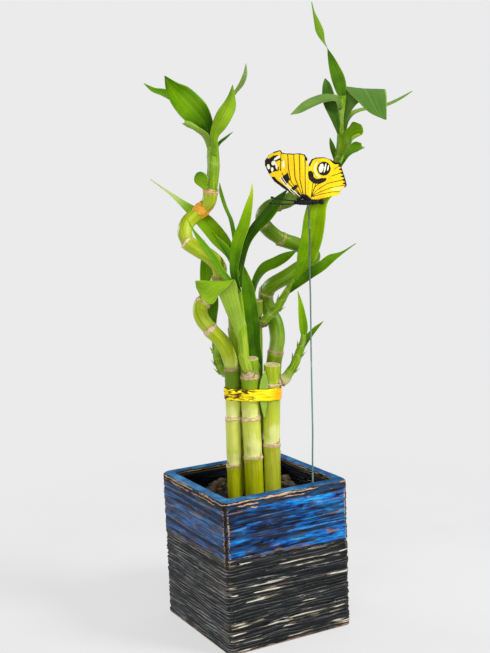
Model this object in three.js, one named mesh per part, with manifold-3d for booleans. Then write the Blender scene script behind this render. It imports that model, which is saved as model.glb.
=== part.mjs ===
// A bundle of lucky bamboo stalks in a square glazed pot, with a butterfly pick.
// Millimetres, +Z up. The origin is the centre of the pot's underside, and the
// pot's faces are parallel to X and Y. The plant stands in the pot turned about Z:
// in the plant's own axes +X runs across its broad side and -Y is its front.

import * as THREE from "three";
import { mergeVertices } from "three/addons/utils/BufferGeometryUtils.js";
import Module from "manifold-3d";

const wasm = await Module();
wasm.setup();

// ---- driving dimensions ----

const potSide = 90;
const potHeight = 98;
const potWall = 6.5;
const potFloor = 8;
const potCornerRadius = 4;
const potEdgeRound = 2;
const gravelTop = 84;
const stalkFoot = 24;
const clearance = 0.3;
const plantTurn = THREE.MathUtils.degToRad(-28.5);

const stalkSides = 10;
const longStalkStep = 28;
const nodeSwell = 0.6;
const nodeShoulder = 0.1;
const nodeHalfHeight = 1.3;
const shootSides = 8;
const leafThickness = 0.9;
const leafTipThinning = 0.6;

const bandBottom = 149;
const bandTop = 156.5;
const bandThickness = 0.5;
const bandSlack = 0.2;
const bandPoints = 40;

const wireRadius = 0.5;
const wireSides = 8;
const feelerRadius = 0.4;
const feelerSides = 6;
const bodyRadius = 2.1;
const wingThickness = 0.8;
const wingYaw = THREE.MathUtils.degToRad(10);

// ---- materials ----

function material(color, roughness, metalness = 0) {
  return new THREE.MeshStandardMaterial({ color, roughness, metalness });
}

const glaze = material(0x1d2c44, 0.25);
const gravelStone = material(0x5a5248, 0.85);
const stalkGreen = material(0x9cad22, 0.45);
const shootGreen = material(0x8fb63a, 0.45);
const leafGreen = material(0x5f9410, 0.4);
const goldFoil = material(0xf2c500, 0.25, 0.8);
const wireGreen = material(0x5c8a7c, 0.5, 0.4);
const bodyBlack = material(0x1a1c20, 0.6);
const wingYellow = material(0xf7cf10, 0.5);

// ---- mesh and solid helpers ----

const vector = (point) => new THREE.Vector3(point[0], point[1], point[2]);

function smoothCurve(path) {
  return new THREE.CatmullRomCurve3(path.map(vector), false, "centripetal");
}

// A closed body through rings of an even count of points. The rings run
// counterclockwise when the body is seen from its far end. The diagonals alternate, so
// that both faces of a thin blade fold along the same lines.
function loft(rings) {
  const count = rings[0].length;
  const positions = rings.flat().flatMap((point) => [point.x, point.y, point.z]);
  const index = [];
  for (let ring = 0; ring + 1 < rings.length; ring++) {
    for (let k = 0; k < count; k++) {
      const next = (k + 1) % count;
      const near = ring * count;
      const far = near + count;
      if (k % 2 === 0) {
        index.push(near + k, near + next, far + k);
        index.push(near + next, far + next, far + k);
      } else {
        index.push(near + k, near + next, far + next);
        index.push(near + k, far + next, far + k);
      }
    }
  }
  const last = (rings.length - 1) * count;
  for (let k = 1; k + 1 < count; k++) {
    index.push(0, k + 1, k);
    index.push(last, last + k, last + k + 1);
  }
  const geometry = new THREE.BufferGeometry();
  geometry.setAttribute("position", new THREE.Float32BufferAttribute(positions, 3));
  geometry.setIndex(index);
  return geometry;
}

function solidOf(geometry) {
  const bare = geometry.clone();
  bare.deleteAttribute("normal");
  bare.deleteAttribute("uv");
  const merged = mergeVertices(bare, 1e-5);
  return new wasm.Manifold(
    new wasm.Mesh({
      numProp: 3,
      vertProperties: new Float32Array(merged.attributes.position.array),
      triVerts: new Uint32Array(merged.index.array),
    }),
  );
}

function geometryOf(solid) {
  const mesh = solid.getMesh();
  const geometry = new THREE.BufferGeometry();
  geometry.setAttribute("position", new THREE.BufferAttribute(mesh.vertProperties, 3));
  geometry.setIndex(new THREE.BufferAttribute(mesh.triVerts, 1));
  return geometry;
}

function cutBy(geometry, cutters) {
  const cut = cutters.reduce((solid, cutter) => solid.subtract(solidOf(cutter)), solidOf(geometry));
  return geometryOf(cut);
}

function roundedSquare(side, radius) {
  const half = side / 2;
  const inner = half - radius;
  const shape = new THREE.Shape();
  shape.moveTo(-inner, -half);
  shape.lineTo(inner, -half);
  shape.absarc(inner, -inner, radius, -Math.PI / 2, 0);
  shape.lineTo(half, inner);
  shape.absarc(inner, inner, radius, 0, Math.PI / 2);
  shape.lineTo(-inner, half);
  shape.absarc(-inner, inner, radius, Math.PI / 2, Math.PI);
  shape.lineTo(-half, -inner);
  shape.absarc(-inner, -inner, radius, Math.PI, 1.5 * Math.PI);
  return shape;
}

// ---- stalks ----

// The path runs from the foot to the top. A fourth number marks a node ring there.
const stalkPaths = {
  stalk_spiral_left: {
    radii: [4.9, 4.6],
    path: [
      [-11.5, -2, stalkFoot], [-11.5, -2, 105.5, 1], [-11, -2, 134, 1], [-10.5, -2, 148],
      [-10.5, -2.5, 166, 1], [-12, -5, 178], [-16, -8, 188], [-23, -9.5, 196.5, 1],
      [-28, -7, 203.5], [-29, -3.5, 210], [-25.5, -0.5, 214.5, 1], [-20, 0.5, 221],
      [-16, -1, 228.5, 1], [-16, -6, 236], [-21, -10, 242.5], [-28, -10, 247],
      [-34, -7.5, 251.5, 1], [-36.5, -4, 258], [-34.5, -1, 264], [-29.5, 0.5, 268.5],
      [-25, 0.5, 272, 1], [-20.5, -1, 277], [-19, -3, 284],
    ],
  },
  stalk_spiral_right: {
    radii: [5.2, 4.3],
    path: [
      [13, 10, stalkFoot], [14, 10, 110, 1], [15, 10, 140], [17, 10, 169],
      [18.5, 10, 177, 1], [20, 12, 186], [19, 15, 195.5], [15.5, 17.5, 203], [13.5, 17, 210.5],
      [14.5, 12, 217.5, 1], [19.5, 6, 222.5], [27.5, 3, 227], [35, 4, 231.5], [42, 7, 234.5],
      [45, 11, 238.5], [42, 15, 242.5], [35, 17, 246], [24.5, 15, 250.5, 1], [17, 11, 256.5],
      [13, 6, 262.5, 1], [13.5, 2, 267.5], [18, 0, 272], [23.5, -1, 273.5, 1], [29, -1, 275],
      [33.5, 0, 278], [38, 1, 281.5],
    ],
  },
  stalk_middle: {
    radii: [6.1, 5.9],
    path: [[1, -4, stalkFoot], [1, -4, 111, 1], [0.5, -4, 136, 1], [0.5, -4, 150],
      [1, -4, 164, 1], [1, -4, 175]],
  },
  stalk_right: {
    radii: [5.2, 5.3],
    path: [[12.5, -1, stalkFoot], [13.5, -1, 117.5, 1], [14.5, -1, 146], [15, -1, 158.5, 1],
      [15.5, -1, 170]],
  },
  stalk_back: {
    radii: [5.2, 5],
    path: [[1.5, 9, stalkFoot], [3, 9, 118, 1], [4.5, 9, 160, 1], [5.5, 9, 197, 1], [6.5, 9, 211]],
  },
  stalk_back_left: {
    radii: [5.1, 4.9],
    path: [[-9.5, 8.5, stalkFoot], [-8.5, 8.5, 122, 1], [-7.5, 8.5, 160, 1],
      [-7, 8.5, 194, 1], [-6.5, 8.5, 202.5]],
  },
};

// Stations along a stalk as [curve parameter, swell], with three round each node.
function stalkStations(path, curve) {
  const spans = path.length - 1;
  const stations = [];
  for (let k = 0; k <= spans; k++) {
    const here = vector(path[k]);
    const reach = k < spans ? here.distanceTo(vector(path[k + 1])) : 0;
    const before = k > 0 ? here.distanceTo(vector(path[k - 1])) : 0;
    const rings = path[k][3] && k > 0 && k < spans;
    if (rings) {
      stations.push([(k - nodeHalfHeight / before) / spans, nodeShoulder]);
    }
    stations.push([k / spans, rings ? nodeSwell : 0]);
    if (rings) {
      stations.push([(k + nodeHalfHeight / reach) / spans, nodeShoulder]);
    }
    const steps = Math.max(1, Math.ceil(reach / longStalkStep));
    for (let step = 1; step < steps; step++) {
      stations.push([(k + step / steps) / spans, 0]);
    }
  }
  return stations.map(([t, swell]) => ({ t, swell, point: curve.getPoint(t) }));
}

// Frames carried along a path without twist, so that the sides stay in line.
function carriedFrames(points, tangents) {
  const side = new THREE.Vector3(1, 0, 0);
  return points.map((point, k) => {
    side.addScaledVector(tangents[k], -side.dot(tangents[k])).normalize();
    return { point, side: side.clone(), across: tangents[k].clone().cross(side) };
  });
}

function roundRings(frames, radii, sides) {
  return frames.map(({ point, side, across }, ring) => {
    const circle = [];
    for (let k = 0; k < sides; k++) {
      const turn = (2 * Math.PI * k) / sides;
      circle.push(
        point
          .clone()
          .addScaledVector(side, radii[ring] * Math.cos(turn))
          .addScaledVector(across, radii[ring] * Math.sin(turn)),
      );
    }
    return circle;
  });
}

function stalkGeometry({ path, radii }, grow = 0) {
  const curve = smoothCurve(path);
  const stations = stalkStations(path, curve);
  const points = stations.map(({ point }) => point);
  const tangents = stations.map(({ t }) => curve.getTangent(t));
  points[0].addScaledVector(tangents[0], -grow);
  points[points.length - 1].addScaledVector(tangents[points.length - 1], grow);
  const ringRadii = stations.map(
    ({ t, swell }) => THREE.MathUtils.lerp(radii[0], radii[1], t) + swell + grow,
  );
  return loft(roundRings(carriedFrames(points, tangents), ringRadii, stalkSides));
}

// ---- shoots ----

// Each shoot starts inside the stalk that carries it, and is cut back to clear it.
const shoots = {
  left_crown_shoot: {
    radii: [3.8, 3.7, 3.8, 3.7, 2.9, 2.3],
    path: [[-19, -3, 282], [-17.5, -3, 291], [-16.5, -3, 299.5], [-16.5, -3, 307.5],
      [-16, -3, 315], [-16, -3, 322.5]],
  },
  right_crown_shoot: {
    radii: [3.4, 3.1, 3, 2.8, 3, 2.4, 1.7, 2.7, 3.6],
    path: [[37, 1, 280.5], [47.5, 1, 287], [56, 0, 292.5], [61, 0, 297.5], [63.5, 0, 305.5],
      [64, 0, 315], [64.5, 0, 323.5], [64.5, 0, 331.5], [64.5, 0, 339]],
  },
  centre_shoot: {
    radii: [3.2, 3.3, 3.5, 3.5, 3.4, 3.3, 3, 2.5, 1.9],
    path: [[0.5, -7, 164.5], [-0.5, -12, 170.5], [-2, -14, 176.5], [-2.5, -14.5, 184.5],
      [-3, -14, 194.5], [-3.5, -13, 205.5], [-3.5, -13, 216], [-4, -13, 225], [-4, -13, 232.5]],
  },
  side_shoot_upper: {
    radii: [2.6, 2.8, 2.8, 2.7, 2.4, 2, 1.4],
    path: [[6, 7, 194.5], [9.5, 2, 197.5], [14, -1, 201.5], [19.5, -3, 207], [24, -4.5, 214],
      [28, -6, 220.5], [31.5, -7, 226]],
  },
  side_shoot_lower: {
    radii: [2.6, 3.6, 2.9, 2.8, 2.7, 2.3, 1.7],
    path: [[17, -1, 159.5], [22.5, -1.5, 160.5], [26, -2, 164.5], [29.5, -2, 169.5], [33, -2, 177.5],
      [36, -2.5, 185.5], [36.5, -3, 190]],
  },
  side_shoot_left: {
    radii: [2.4, 2.7, 2.7, 2.5, 1.9, 1.4],
    path: [[-12, -1, 165.5], [-16.5, 0, 167.5], [-19, 1, 173.5], [-20, 3, 179.5],
      [-21, 6, 187], [-21.5, 8, 194.5]],
  },
};

// The stalk that each shoot grows from.
const shootHolders = {
  left_crown_shoot: "stalk_spiral_left",
  right_crown_shoot: "stalk_spiral_right",
  centre_shoot: "stalk_middle",
  side_shoot_upper: "stalk_back",
  side_shoot_lower: "stalk_right",
  side_shoot_left: "stalk_spiral_left",
};

function shootGeometry({ path, radii }, grow = 0) {
  const curve = smoothCurve(path);
  const spans = path.length - 1;
  const points = path.map((_, k) => curve.getPoint(k / spans));
  const tangents = path.map((_, k) => curve.getTangent(k / spans));
  points[0].addScaledVector(tangents[0], -grow);
  points[spans].addScaledVector(tangents[spans], grow);
  const ringRadii = radii.map((radius) => radius + grow);
  return loft(roundRings(carriedFrames(points, tangents), ringRadii, shootSides));
}

// ---- leaves ----

// facing lists where the upper face looks, spread evenly from the base to the tip.
function facingAt(facing, t) {
  const place = t * (facing.length - 1);
  const before = Math.min(Math.floor(place), Math.max(0, facing.length - 2));
  const after = Math.min(before + 1, facing.length - 1);
  return vector(facing[before]).lerp(vector(facing[after]), place - before);
}

// A blade with a shallow V section: the edges stand above the middle by the fold's
// angle, and the blade is thickest along its middle.
function leafGeometry({ path, facing, fold }) {
  const curve = smoothCurve(path);
  const spans = path.length - 1;
  const slope = Math.tan(THREE.MathUtils.degToRad(fold));
  const rings = path.map((station, k) => {
    const t = k / spans;
    const point = curve.getPoint(t);
    const tangent = curve.getTangent(t);
    const side = tangent.clone().cross(facingAt(facing, t)).normalize();
    const up = side.clone().cross(tangent);
    const half = station[3] / 2;
    const thick = leafThickness * (1 - leafTipThinning * t);
    const rise = (half * slope) / 2;
    const at = (across, lift) =>
      point.clone().addScaledVector(side, across).addScaledVector(up, lift);
    return [at(0, -rise - thick / 2), at(-half, rise), at(0, -rise + thick / 2), at(half, rise)];
  });
  return loft(rings);
}

// Every leaf starts inside its shoot and is cut back to clear it. A path point is
// [x, y, z, width], from the base to the tip.
const leaves = {
  left_crown_shoot: {
    left_crown_leaf_broad: {
      fold: 12, facing: [[-0.3, -1, 0.3], [-0.2, -1, 0.4], [-0.2, -1, 0.5]],
      path: [
        [-17, -4, 311.5, 3], [-20, -6, 323, 10], [-25, -9, 331, 16], [-30, -10, 336.5, 17],
        [-35.5, -9, 343, 14.5], [-40, -6, 348, 9], [-44.5, -2, 355.5, 0.4],
      ],
    },
    left_crown_leaf_far: {
      fold: 20, facing: [[-0.3, -1, 0.6], [0, -1, 0.8], [0, -1, 1]],
      path: [
        [-17, 0, 312, 3], [-24, 8, 327, 6], [-33.5, 13, 337.5, 7.5], [-41.5, 17, 343.5, 7],
        [-47.5, 18.5, 346.5, 6], [-53.5, 20, 348.5, 4], [-59.5, 21, 353, 0.4],
      ],
    },
    left_crown_leaf_rolled: {
      fold: 12, facing: [[0.6, 0.8, 0.2], [0.3, 0.9, 0.5], [0.1, 1, 0.3]],
      path: [
        [-18, -2.5, 305, 3.5], [-19, -6, 312.5, 4.5], [-21, -12, 318, 5], [-25.5, -15, 321.5, 4],
        [-29.5, -18, 323.5, 4], [-33, -21, 325.5, 2.5],
      ],
    },
    left_crown_leaf_upright: {
      fold: 14, facing: [[0.2, 1, 0.2], [0.3, 1, 0.2], [0.2, 1, 0.1]],
      path: [
        [-16, -6, 304.5, 3], [-15.5, -10.5, 312.5, 4], [-15, -11, 318, 6], [-12, -13, 323.5, 9],
        [-8.5, -14, 329.5, 10], [-5, -13, 335.5, 8.5], [-3.5, -11, 341.5, 4.5],
        [-2.5, -8, 348, 0.4],
      ],
    },
    left_crown_leaf_back: {
      fold: 20, facing: [[-0.3, -1, 0.3], [-1, -0.6, 0.3], [-1, -0.3, 0.4]],
      path: [
        [-15.5, -1, 313, 3.5], [-13.5, 5, 323, 5], [-8.5, 9.5, 333.5, 6.5],
        [-1.5, 13.5, 343.5, 5.5], [3.5, 15, 349.5, 7.5], [6, 14.5, 355, 8.5], [6.5, 12, 362, 1],
      ],
    },
    left_crown_bract: {
      fold: 14, facing: [[-0.8, -0.6, 0.6]],
      path: [
        [-15.5, -1, 304, 3], [-14.5, -1, 308.5, 3], [-12, -1.5, 313, 4], [-8, -2.5, 316, 3],
        [-3.5, -4, 319.5, 0.4],
      ],
    },
    left_crown_leaf_round: {
      fold: 0, facing: [[-0.3, -1, 0.4]],
      path: [
        [-20, -7, 285, 2.5], [-22.5, -9, 286, 3], [-23.5, -10, 288.5, 7], [-24.5, -11, 291, 9],
        [-25.5, -11, 294, 6.5], [-26, -11, 295.5, 2.5],
      ],
    },
  },
  right_crown_shoot: {
    right_crown_leaf_tall: {
      fold: 20,
      facing: [
        [0, -1, 0.2], [0, -1, 0.1], [-0.2, -1, 0], [-1, 0.1, 0], [-0.2, 1, 0], [0, 1, 0],
      ],
      path: [
        [65, 2, 334, 4.5], [65, 1.5, 341.5, 8.5], [63, -0.5, 349.5, 9], [61, -2, 357.5, 7],
        [58, -3, 364.5, 5.5], [56, -4, 369.5, 14.5], [53.5, -5, 375.5, 11.5], [51, -5, 382, 5],
        [49, -3, 391, 2], [48.5, -1, 397, 0.4],
      ],
    },
    right_crown_leaf_left: {
      fold: 14, facing: [[-0.3, -1, 0.6], [-0.2, -0.8, 1], [-0.1, -0.8, 1]],
      path: [
        [63.5, -3, 330.5, 3], [62, -6, 336.5, 5.5], [56.5, -10, 337.5, 8], [49.5, -13.5, 336, 10],
        [42, -16.5, 333, 8.5], [36, -18.5, 329.5, 5], [32, -20, 328, 0.4],
      ],
    },
    right_crown_leaf_behind: {
      fold: 14, facing: [[0.3, -1, 0.2]],
      path: [
        [63, -1, 316, 3.5], [61, -2, 323.5, 5.5], [59, -3, 330, 8], [57, -4, 336, 9],
        [56, -4.5, 342, 7.5], [55.5, -4, 347, 4.5], [55, -3, 350, 0.4],
      ],
    },
    right_crown_leaf_bent: {
      fold: 8,
      facing: [
        [0, 1, 0.2], [0, 1, 0.4], [0.2, 0.3, 1], [0.3, -0.5, 1], [0.3, -1, 0.6], [0.3, -1, 0.5],
      ],
      path: [
        [65.5, 2, 320, 3], [68, 5, 328, 6], [72.5, 8.5, 336, 12], [77, 7, 341.5, 24.5],
        [81, 1, 341, 40.5], [84, -5, 335.5, 20], [88, -9, 329.5, 11], [91.5, -12, 323, 0.4],
      ],
    },
    right_crown_leaf_thin: {
      fold: 18, facing: [[-0.4, -1, 0.6], [0, -0.5, 1], [0, -0.3, 1]],
      path: [
        [66, 1, 315.5, 3.5], [67.5, 5, 322, 4], [71, 11, 327, 4.5], [77, 17, 330, 4.5],
        [85.5, 22, 331.5, 4.5], [97, 28, 333.5, 4.5], [106.5, 31, 337.5, 3.5], [114.5, 33, 342, 1],
      ],
    },
    right_crown_leaf_short: {
      fold: 10, facing: [[-0.4, -0.8, 0.8], [-0.4, -0.8, 0.6]],
      path: [
        [62.5, -1, 300.5, 4.5], [65, -4, 307, 9], [68, -8, 312.5, 14], [72.5, -11, 315, 12],
        [76.5, -14, 316, 7],
      ],
    },
    right_crown_leaf_low: {
      fold: 12, facing: [[-0.4, -0.8, 0.8]],
      path: [
        [63, 2, 295, 3], [66.5, 5, 301.5, 6.5], [70.5, 8, 305, 9], [75, 10, 306, 8.5],
        [79, 11.5, 307, 4.5],
      ],
    },
    right_crown_leaf_small: {
      fold: 14, facing: [[0.6, -0.8, 0.3]],
      path: [
        [61, 1, 297, 3.5], [60, 2, 302, 4.5], [58.5, 1, 307, 5], [57.5, 0, 311, 3],
        [57, -1, 313.5, 0.4],
      ],
    },
  },
  centre_shoot: {
    centre_leaf_tall: {
      fold: 16, facing: [[0.2, -1, 0.2]],
      path: [
        [-4, -14, 220, 3], [-6.5, -17, 232.5, 5], [-5.5, -19, 242, 6.5], [-3, -21, 253, 7.5],
        [1, -22, 262.5, 7], [4, -22, 272.5, 5], [6.5, -21, 282, 2], [7, -20, 287.5, 0.4],
      ],
    },
    centre_leaf_right: {
      fold: 16, facing: [[0.5, -1, 0.2], [-0.2, -1, 0.6], [-0.3, -1, 0.5]],
      path: [
        [-3.5, -13, 223, 3.5], [-2, -12, 236, 4], [2, -11, 250.5, 5.5], [7, -10, 258, 7],
        [15, -9, 266, 8.5], [22.5, -9, 275, 7], [29, -8, 282.5, 0.4],
      ],
    },
    centre_leaf_left: {
      fold: 14, facing: [[0.5, -1, 0.3], [0.4, -1, 0.3], [0.3, -1, 0.4]],
      path: [
        [-4, -12, 227, 4.5], [-7.5, -5, 241, 7], [-14.5, 3, 251.5, 12], [-25, 9.5, 264.5, 11],
        [-36.5, 14, 274.5, 5.5], [-46, 16.5, 282.5, 2], [-58.5, 19, 292, 0.4],
      ],
    },
    centre_leaf_small: {
      fold: 16, facing: [[0.3, -1, 0.3]],
      path: [
        [-4, -14.5, 229.5, 2.5], [-8, -12.5, 241.5, 4.5], [-11.5, -8, 248, 4.5],
        [-15.5, -6, 253, 2.5], [-19, -4, 257.5, 0.4],
      ],
    },
    centre_leaf_twisted: {
      fold: 16, facing: [[0.4, -1, 0.2], [1, -0.5, 0.2], [0.6, -1, 0.2]],
      path: [
        [-3.5, -12, 229.5, 3.5], [-4.5, -5, 244.5, 4], [-6, 1, 257, 4.5], [-7.5, 4, 264.5, 6],
        [-10.5, 7, 272.5, 4], [-13, 9, 282, 3], [-13.5, 10, 288, 0.4],
      ],
    },
    centre_leaf_over: {
      fold: 16, facing: [[0.4, -1, 0.4], [0.5, -1, 0.3]],
      path: [
        [-4.5, -16, 219, 3.5], [-9.5, -20.5, 228, 4], [-14, -20.5, 234, 4.5],
        [-19.5, -21, 243.5, 5], [-26, -20, 253, 4], [-30.5, -17, 260, 1.5], [-34, -14, 267, 0.4],
      ],
    },
    centre_leaf_bent: {
      fold: 6,
      facing: [
        [0.2, 1, 0.2], [0, 1, 0.3], [-0.3, 1, 0.8], [-0.4, 0.1, 1], [-0.3, -0.7, 1],
        [-0.2, -1, 0.6], [-0.1, -1, 0.5],
      ],
      path: [
        [-4, -16, 193, 3], [-5.5, -17.5, 204, 6], [-8, -19.5, 214, 9.5], [-10.5, -21, 223.5, 10.5],
        [-13.5, -23.5, 228, 29], [-19, -26, 225, 22], [-24.5, -26.5, 224, 13], [-28, -26, 226, 6.5],
        [-30.5, -25, 229, 0.4],
      ],
    },
  },
  stalk_back: {
    back_leaf_wide: {
      fold: 16, facing: [[0.3, -1, 0.1], [0.2, -1, 0.1]],
      path: [
        [6.5, 6, 163.5, 3.5], [6.5, 4, 173, 6], [4.5, 1, 183.5, 8.5], [4, -2, 195, 9.5],
        [3, -3, 209.5, 9], [1.5, -3, 222, 8], [0, -2.5, 230, 5], [-1.5, -1, 238, 0.4],
      ],
    },
    back_leaf_arched: {
      fold: 16, facing: [[-0.5, -0.8, 0.5], [-0.5, -0.8, 0.6]],
      path: [
        [5.5, 6, 205.5, 4.5], [5, 1, 216.5, 4], [7.5, -1, 226, 6], [12.5, -2, 233, 8],
        [20, -3, 236.5, 8.5], [27, -4, 240, 7], [34, -5, 244, 0.4],
      ],
    },
  },
  side_shoot_upper: {
    upper_leaf_wide: {
      fold: 16, facing: [[0, -1, 0.2], [-0.1, -1, 0.2], [-0.2, -1, 0.3]],
      path: [
        [29, -6, 218.5, 2.5], [33, -8, 225.5, 5], [36.5, -10.5, 232.5, 8], [39.5, -12.5, 241, 12],
        [43, -13.5, 252, 13.5], [45.5, -13, 265, 13.5], [48, -12, 273.5, 11.5], [53, -11, 279, 8],
        [65, -8, 283, 0.4],
      ],
    },
    upper_leaf_right: {
      fold: 16, facing: [[0.4, -0.8, 0.6]],
      path: [
        [28, -6, 218, 2.5], [35, -11, 224.5, 5], [42, -15, 230.5, 7], [48.5, -16.5, 234.5, 6.5],
        [54.5, -16.5, 239, 5.5], [61, -15.5, 242, 2], [70.5, -13, 247.5, 0.4],
      ],
    },
  },
  side_shoot_lower: {
    lower_leaf_up: {
      fold: 14, facing: [[0.2, -1, 0.2]],
      path: [
        [36.5, -3, 186, 2], [36.5, -4, 193.5, 5.5], [35.5, -5, 204.5, 4.5], [34.5, -5, 213, 2],
        [33.5, -5, 218, 0.4],
      ],
    },
    lower_leaf_right: {
      fold: 16, facing: [[-0.3, -0.8, 0.6]],
      path: [
        [35.5, -2, 181, 3.5], [39, -4.5, 187.5, 4.5], [43.5, -6, 193, 3.5], [49, -8, 198.5, 0.4],
      ],
    },
  },
  side_shoot_left: {
    side_leaf_left: {
      fold: 14, facing: [[0.1, -1, 0.1]],
      path: [
        [-21.5, 7, 189.5, 3.5], [-22, 8.5, 198.5, 5.5], [-22.5, 10, 209.5, 10],
        [-23.5, 10.5, 222.5, 10.5], [-24.5, 10, 234, 8], [-25, 9, 245.5, 3], [-25, 8, 252, 0.4],
      ],
    },
  },
};

// ---- pot and gravel ----

function potGeometry() {
  const outer = new THREE.ExtrudeGeometry(roundedSquare(potSide, potCornerRadius), {
    depth: potHeight - 2 * potEdgeRound,
    bevelThickness: potEdgeRound,
    bevelSize: potEdgeRound,
    bevelOffset: -potEdgeRound,
    bevelSegments: 2,
    curveSegments: 3,
  });
  outer.translate(0, 0, potEdgeRound);
  const cavity = new THREE.ExtrudeGeometry(
    roundedSquare(potSide - 2 * potWall, potCornerRadius),
    { depth: potHeight, bevelEnabled: false, curveSegments: 3 },
  );
  cavity.translate(0, 0, potFloor);
  return cutBy(outer, [cavity]);
}

// The bed follows the pot's walls, so it is turned back out of the plant's axes.
function gravelGeometry(sunkPieces) {
  const bed = new THREE.ExtrudeGeometry(
    roundedSquare(potSide - 2 * potWall - 2 * clearance, potCornerRadius),
    { depth: gravelTop - potFloor - clearance, bevelEnabled: false, curveSegments: 3 },
  );
  bed.translate(0, 0, potFloor + clearance);
  bed.rotateZ(-plantTurn);
  return cutBy(bed, sunkPieces);
}

const pebbles = [
  { at: [-24, 18], size: [5.5, 4, 2.6], turn: 0.4 },
  { at: [-21, 28], size: [4.5, 3.4, 2.2], turn: 1.3 },
  { at: [-28, 4], size: [4, 5, 2.4], turn: 0.2 },
  { at: [23, 12], size: [5, 3.6, 2.4], turn: -0.5 },
  { at: [22, 27], size: [4.4, 3.8, 2.6], turn: 0.9 },
  { at: [3, 27], size: [4.6, 3.6, 2.2], turn: 0.1 },
];

function pebbleGeometry({ at, size, turn }) {
  const pebble = new THREE.IcosahedronGeometry(1, 1);
  pebble.scale(...size);
  pebble.rotateZ(turn);
  pebble.computeBoundingBox();
  pebble.translate(at[0], at[1], gravelTop + clearance - pebble.boundingBox.min.z);
  return geometryOf(solidOf(pebble));
}

// ---- tie band and the leaf tucked under it ----

const tuckedLeaf = {
  fold: 0, facing: [[0.2, -1, 0]],
  path: [
    [9.2, -8.1, 137, 0.8], [9.2, -8, 142, 4], [9.3, -7.9, 150, 6.5], [9.6, -7.8, 157, 6],
    [10, -7.7, 162, 4.5], [10.6, -7.6, 168, 0.8],
  ],
};

// What the band wraps at its height: [x, y, radius].
const wrapped = [
  [-10.5, -2, 4.9], [0.7, -4, 6.1], [14.8, -1, 5.3], [15.8, 10, 5.2], [4.2, 9, 5.2],
  [-7.8, 8.5, 5.1], [6.4, -8.6, 0.5], [12.4, -7.2, 0.5],
];

// The taut outline round all the wrapped circles, grown by an offset.
function bandOutline(offset) {
  const points = [];
  for (let k = 0; k < bandPoints; k++) {
    const turn = (2 * Math.PI * k) / bandPoints;
    const along = new THREE.Vector2(Math.cos(turn), Math.sin(turn));
    const reach = ([x, y, radius]) => x * along.x + y * along.y + radius;
    const outermost = wrapped.reduce((best, item) => (reach(item) > reach(best) ? item : best));
    const radius = outermost[2] + offset;
    points.push(new THREE.Vector2(outermost[0], outermost[1]).addScaledVector(along, radius));
  }
  return points;
}

function bandGeometry() {
  const inside = clearance + bandSlack;
  const shape = new THREE.Shape(bandOutline(inside + bandThickness));
  shape.holes.push(new THREE.Path(bandOutline(inside)));
  const band = new THREE.ExtrudeGeometry(shape, {
    depth: bandTop - bandBottom,
    bevelEnabled: false,
  });
  return band.translate(0, 0, bandBottom);
}

// ---- butterfly pick ----

const bodyCentre = [41.5, -19, 274.5];
const bodyHalfLength = 9.5;

// Wing outlines as [across, up] from the middle of the butterfly's body.
const leftWing = [
  [-0.4, 0], [-4, 2.5], [-10, 5.5], [-15.5, 9], [-21, 13.5], [-24, 18], [-26.5, 23.5],
  [-26.5, 26.5], [-24, 29.5], [-20.5, 31.5], [-16.5, 32.5], [-15, 30.5], [-9.5, 30],
  [-4.5, 30], [-1.5, 29], [-0.4, 27],
];
const rightWing = [
  [0.4, 0], [0.6, 22.5], [2.5, 26], [5, 27], [10, 27], [14.5, 25.5], [17.5, 23.5],
  [20.5, 23.5], [21.5, 19.5], [23, 15], [24.5, 9.5], [23.5, 8], [20.5, 7], [20, 4.5],
  [18, 3.5], [12, 2.5], [4, 1],
];

function bodyGeometry(grow = 0) {
  const radius = bodyRadius + grow;
  const half = bodyHalfLength + grow;
  const profile = [
    [0, -half], [radius * 0.7, -half + 1], [radius, -half * 0.5], [radius * 0.85, half * 0.6],
    [radius * 0.6, half * 0.75], [radius, half * 0.85], [radius * 0.7, half * 0.97], [0, half],
  ];
  const body = new THREE.LatheGeometry(profile.map(([x, y]) => new THREE.Vector2(x, y)), 10);
  body.rotateZ(-Math.PI / 2);
  body.translate(...bodyCentre);
  return geometryOf(solidOf(body));
}

// The plate stands on the body; its free end swings back by wingYaw.
function wingGeometry(outline, yaw) {
  const shape = new THREE.Shape(outline.map(([x, y]) => new THREE.Vector2(x, y)));
  const plate = new THREE.ExtrudeGeometry(shape, { depth: wingThickness, bevelEnabled: false });
  plate.translate(0, 0, -wingThickness / 2);
  plate.rotateX(Math.PI / 2);
  plate.rotateZ(yaw);
  plate.translate(...bodyCentre);
  return cutBy(plate, [bodyGeometry(clearance)]);
}

function wireGeometry(path, radius, sides, steps) {
  const corners = [];
  for (let k = 0; k < sides; k++) {
    const turn = (2 * Math.PI * k) / sides;
    corners.push(new THREE.Vector2(radius * Math.cos(turn), radius * Math.sin(turn)));
  }
  const section = new THREE.Shape(corners);
  return new THREE.ExtrudeGeometry(section, { steps, extrudePath: smoothCurve(path) });
}

const pickFoot = [38, -13, 40];
const pickTop = [bodyCentre[0], bodyCentre[1], bodyCentre[2] + 0.5];
const feelers = {
  feeler_upper: [[33.5, -19, 275.5], [27, -21, 276.5], [18, -22, 278.5]],
  feeler_lower: [[33.5, -19.5, 273.8], [26, -22, 274], [17, -24, 275]],
};

// ---- assembly ----

const plant = new THREE.Group();
plant.rotation.z = plantTurn;

function addPiece(group, name, geometry, look) {
  const mesh = new THREE.Mesh(geometry, look);
  mesh.name = name;
  group.add(mesh);
}

function grownCarrier(name) {
  return name in stalkPaths
    ? stalkGeometry(stalkPaths[name], clearance)
    : shootGeometry(shoots[name], clearance);
}

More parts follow.
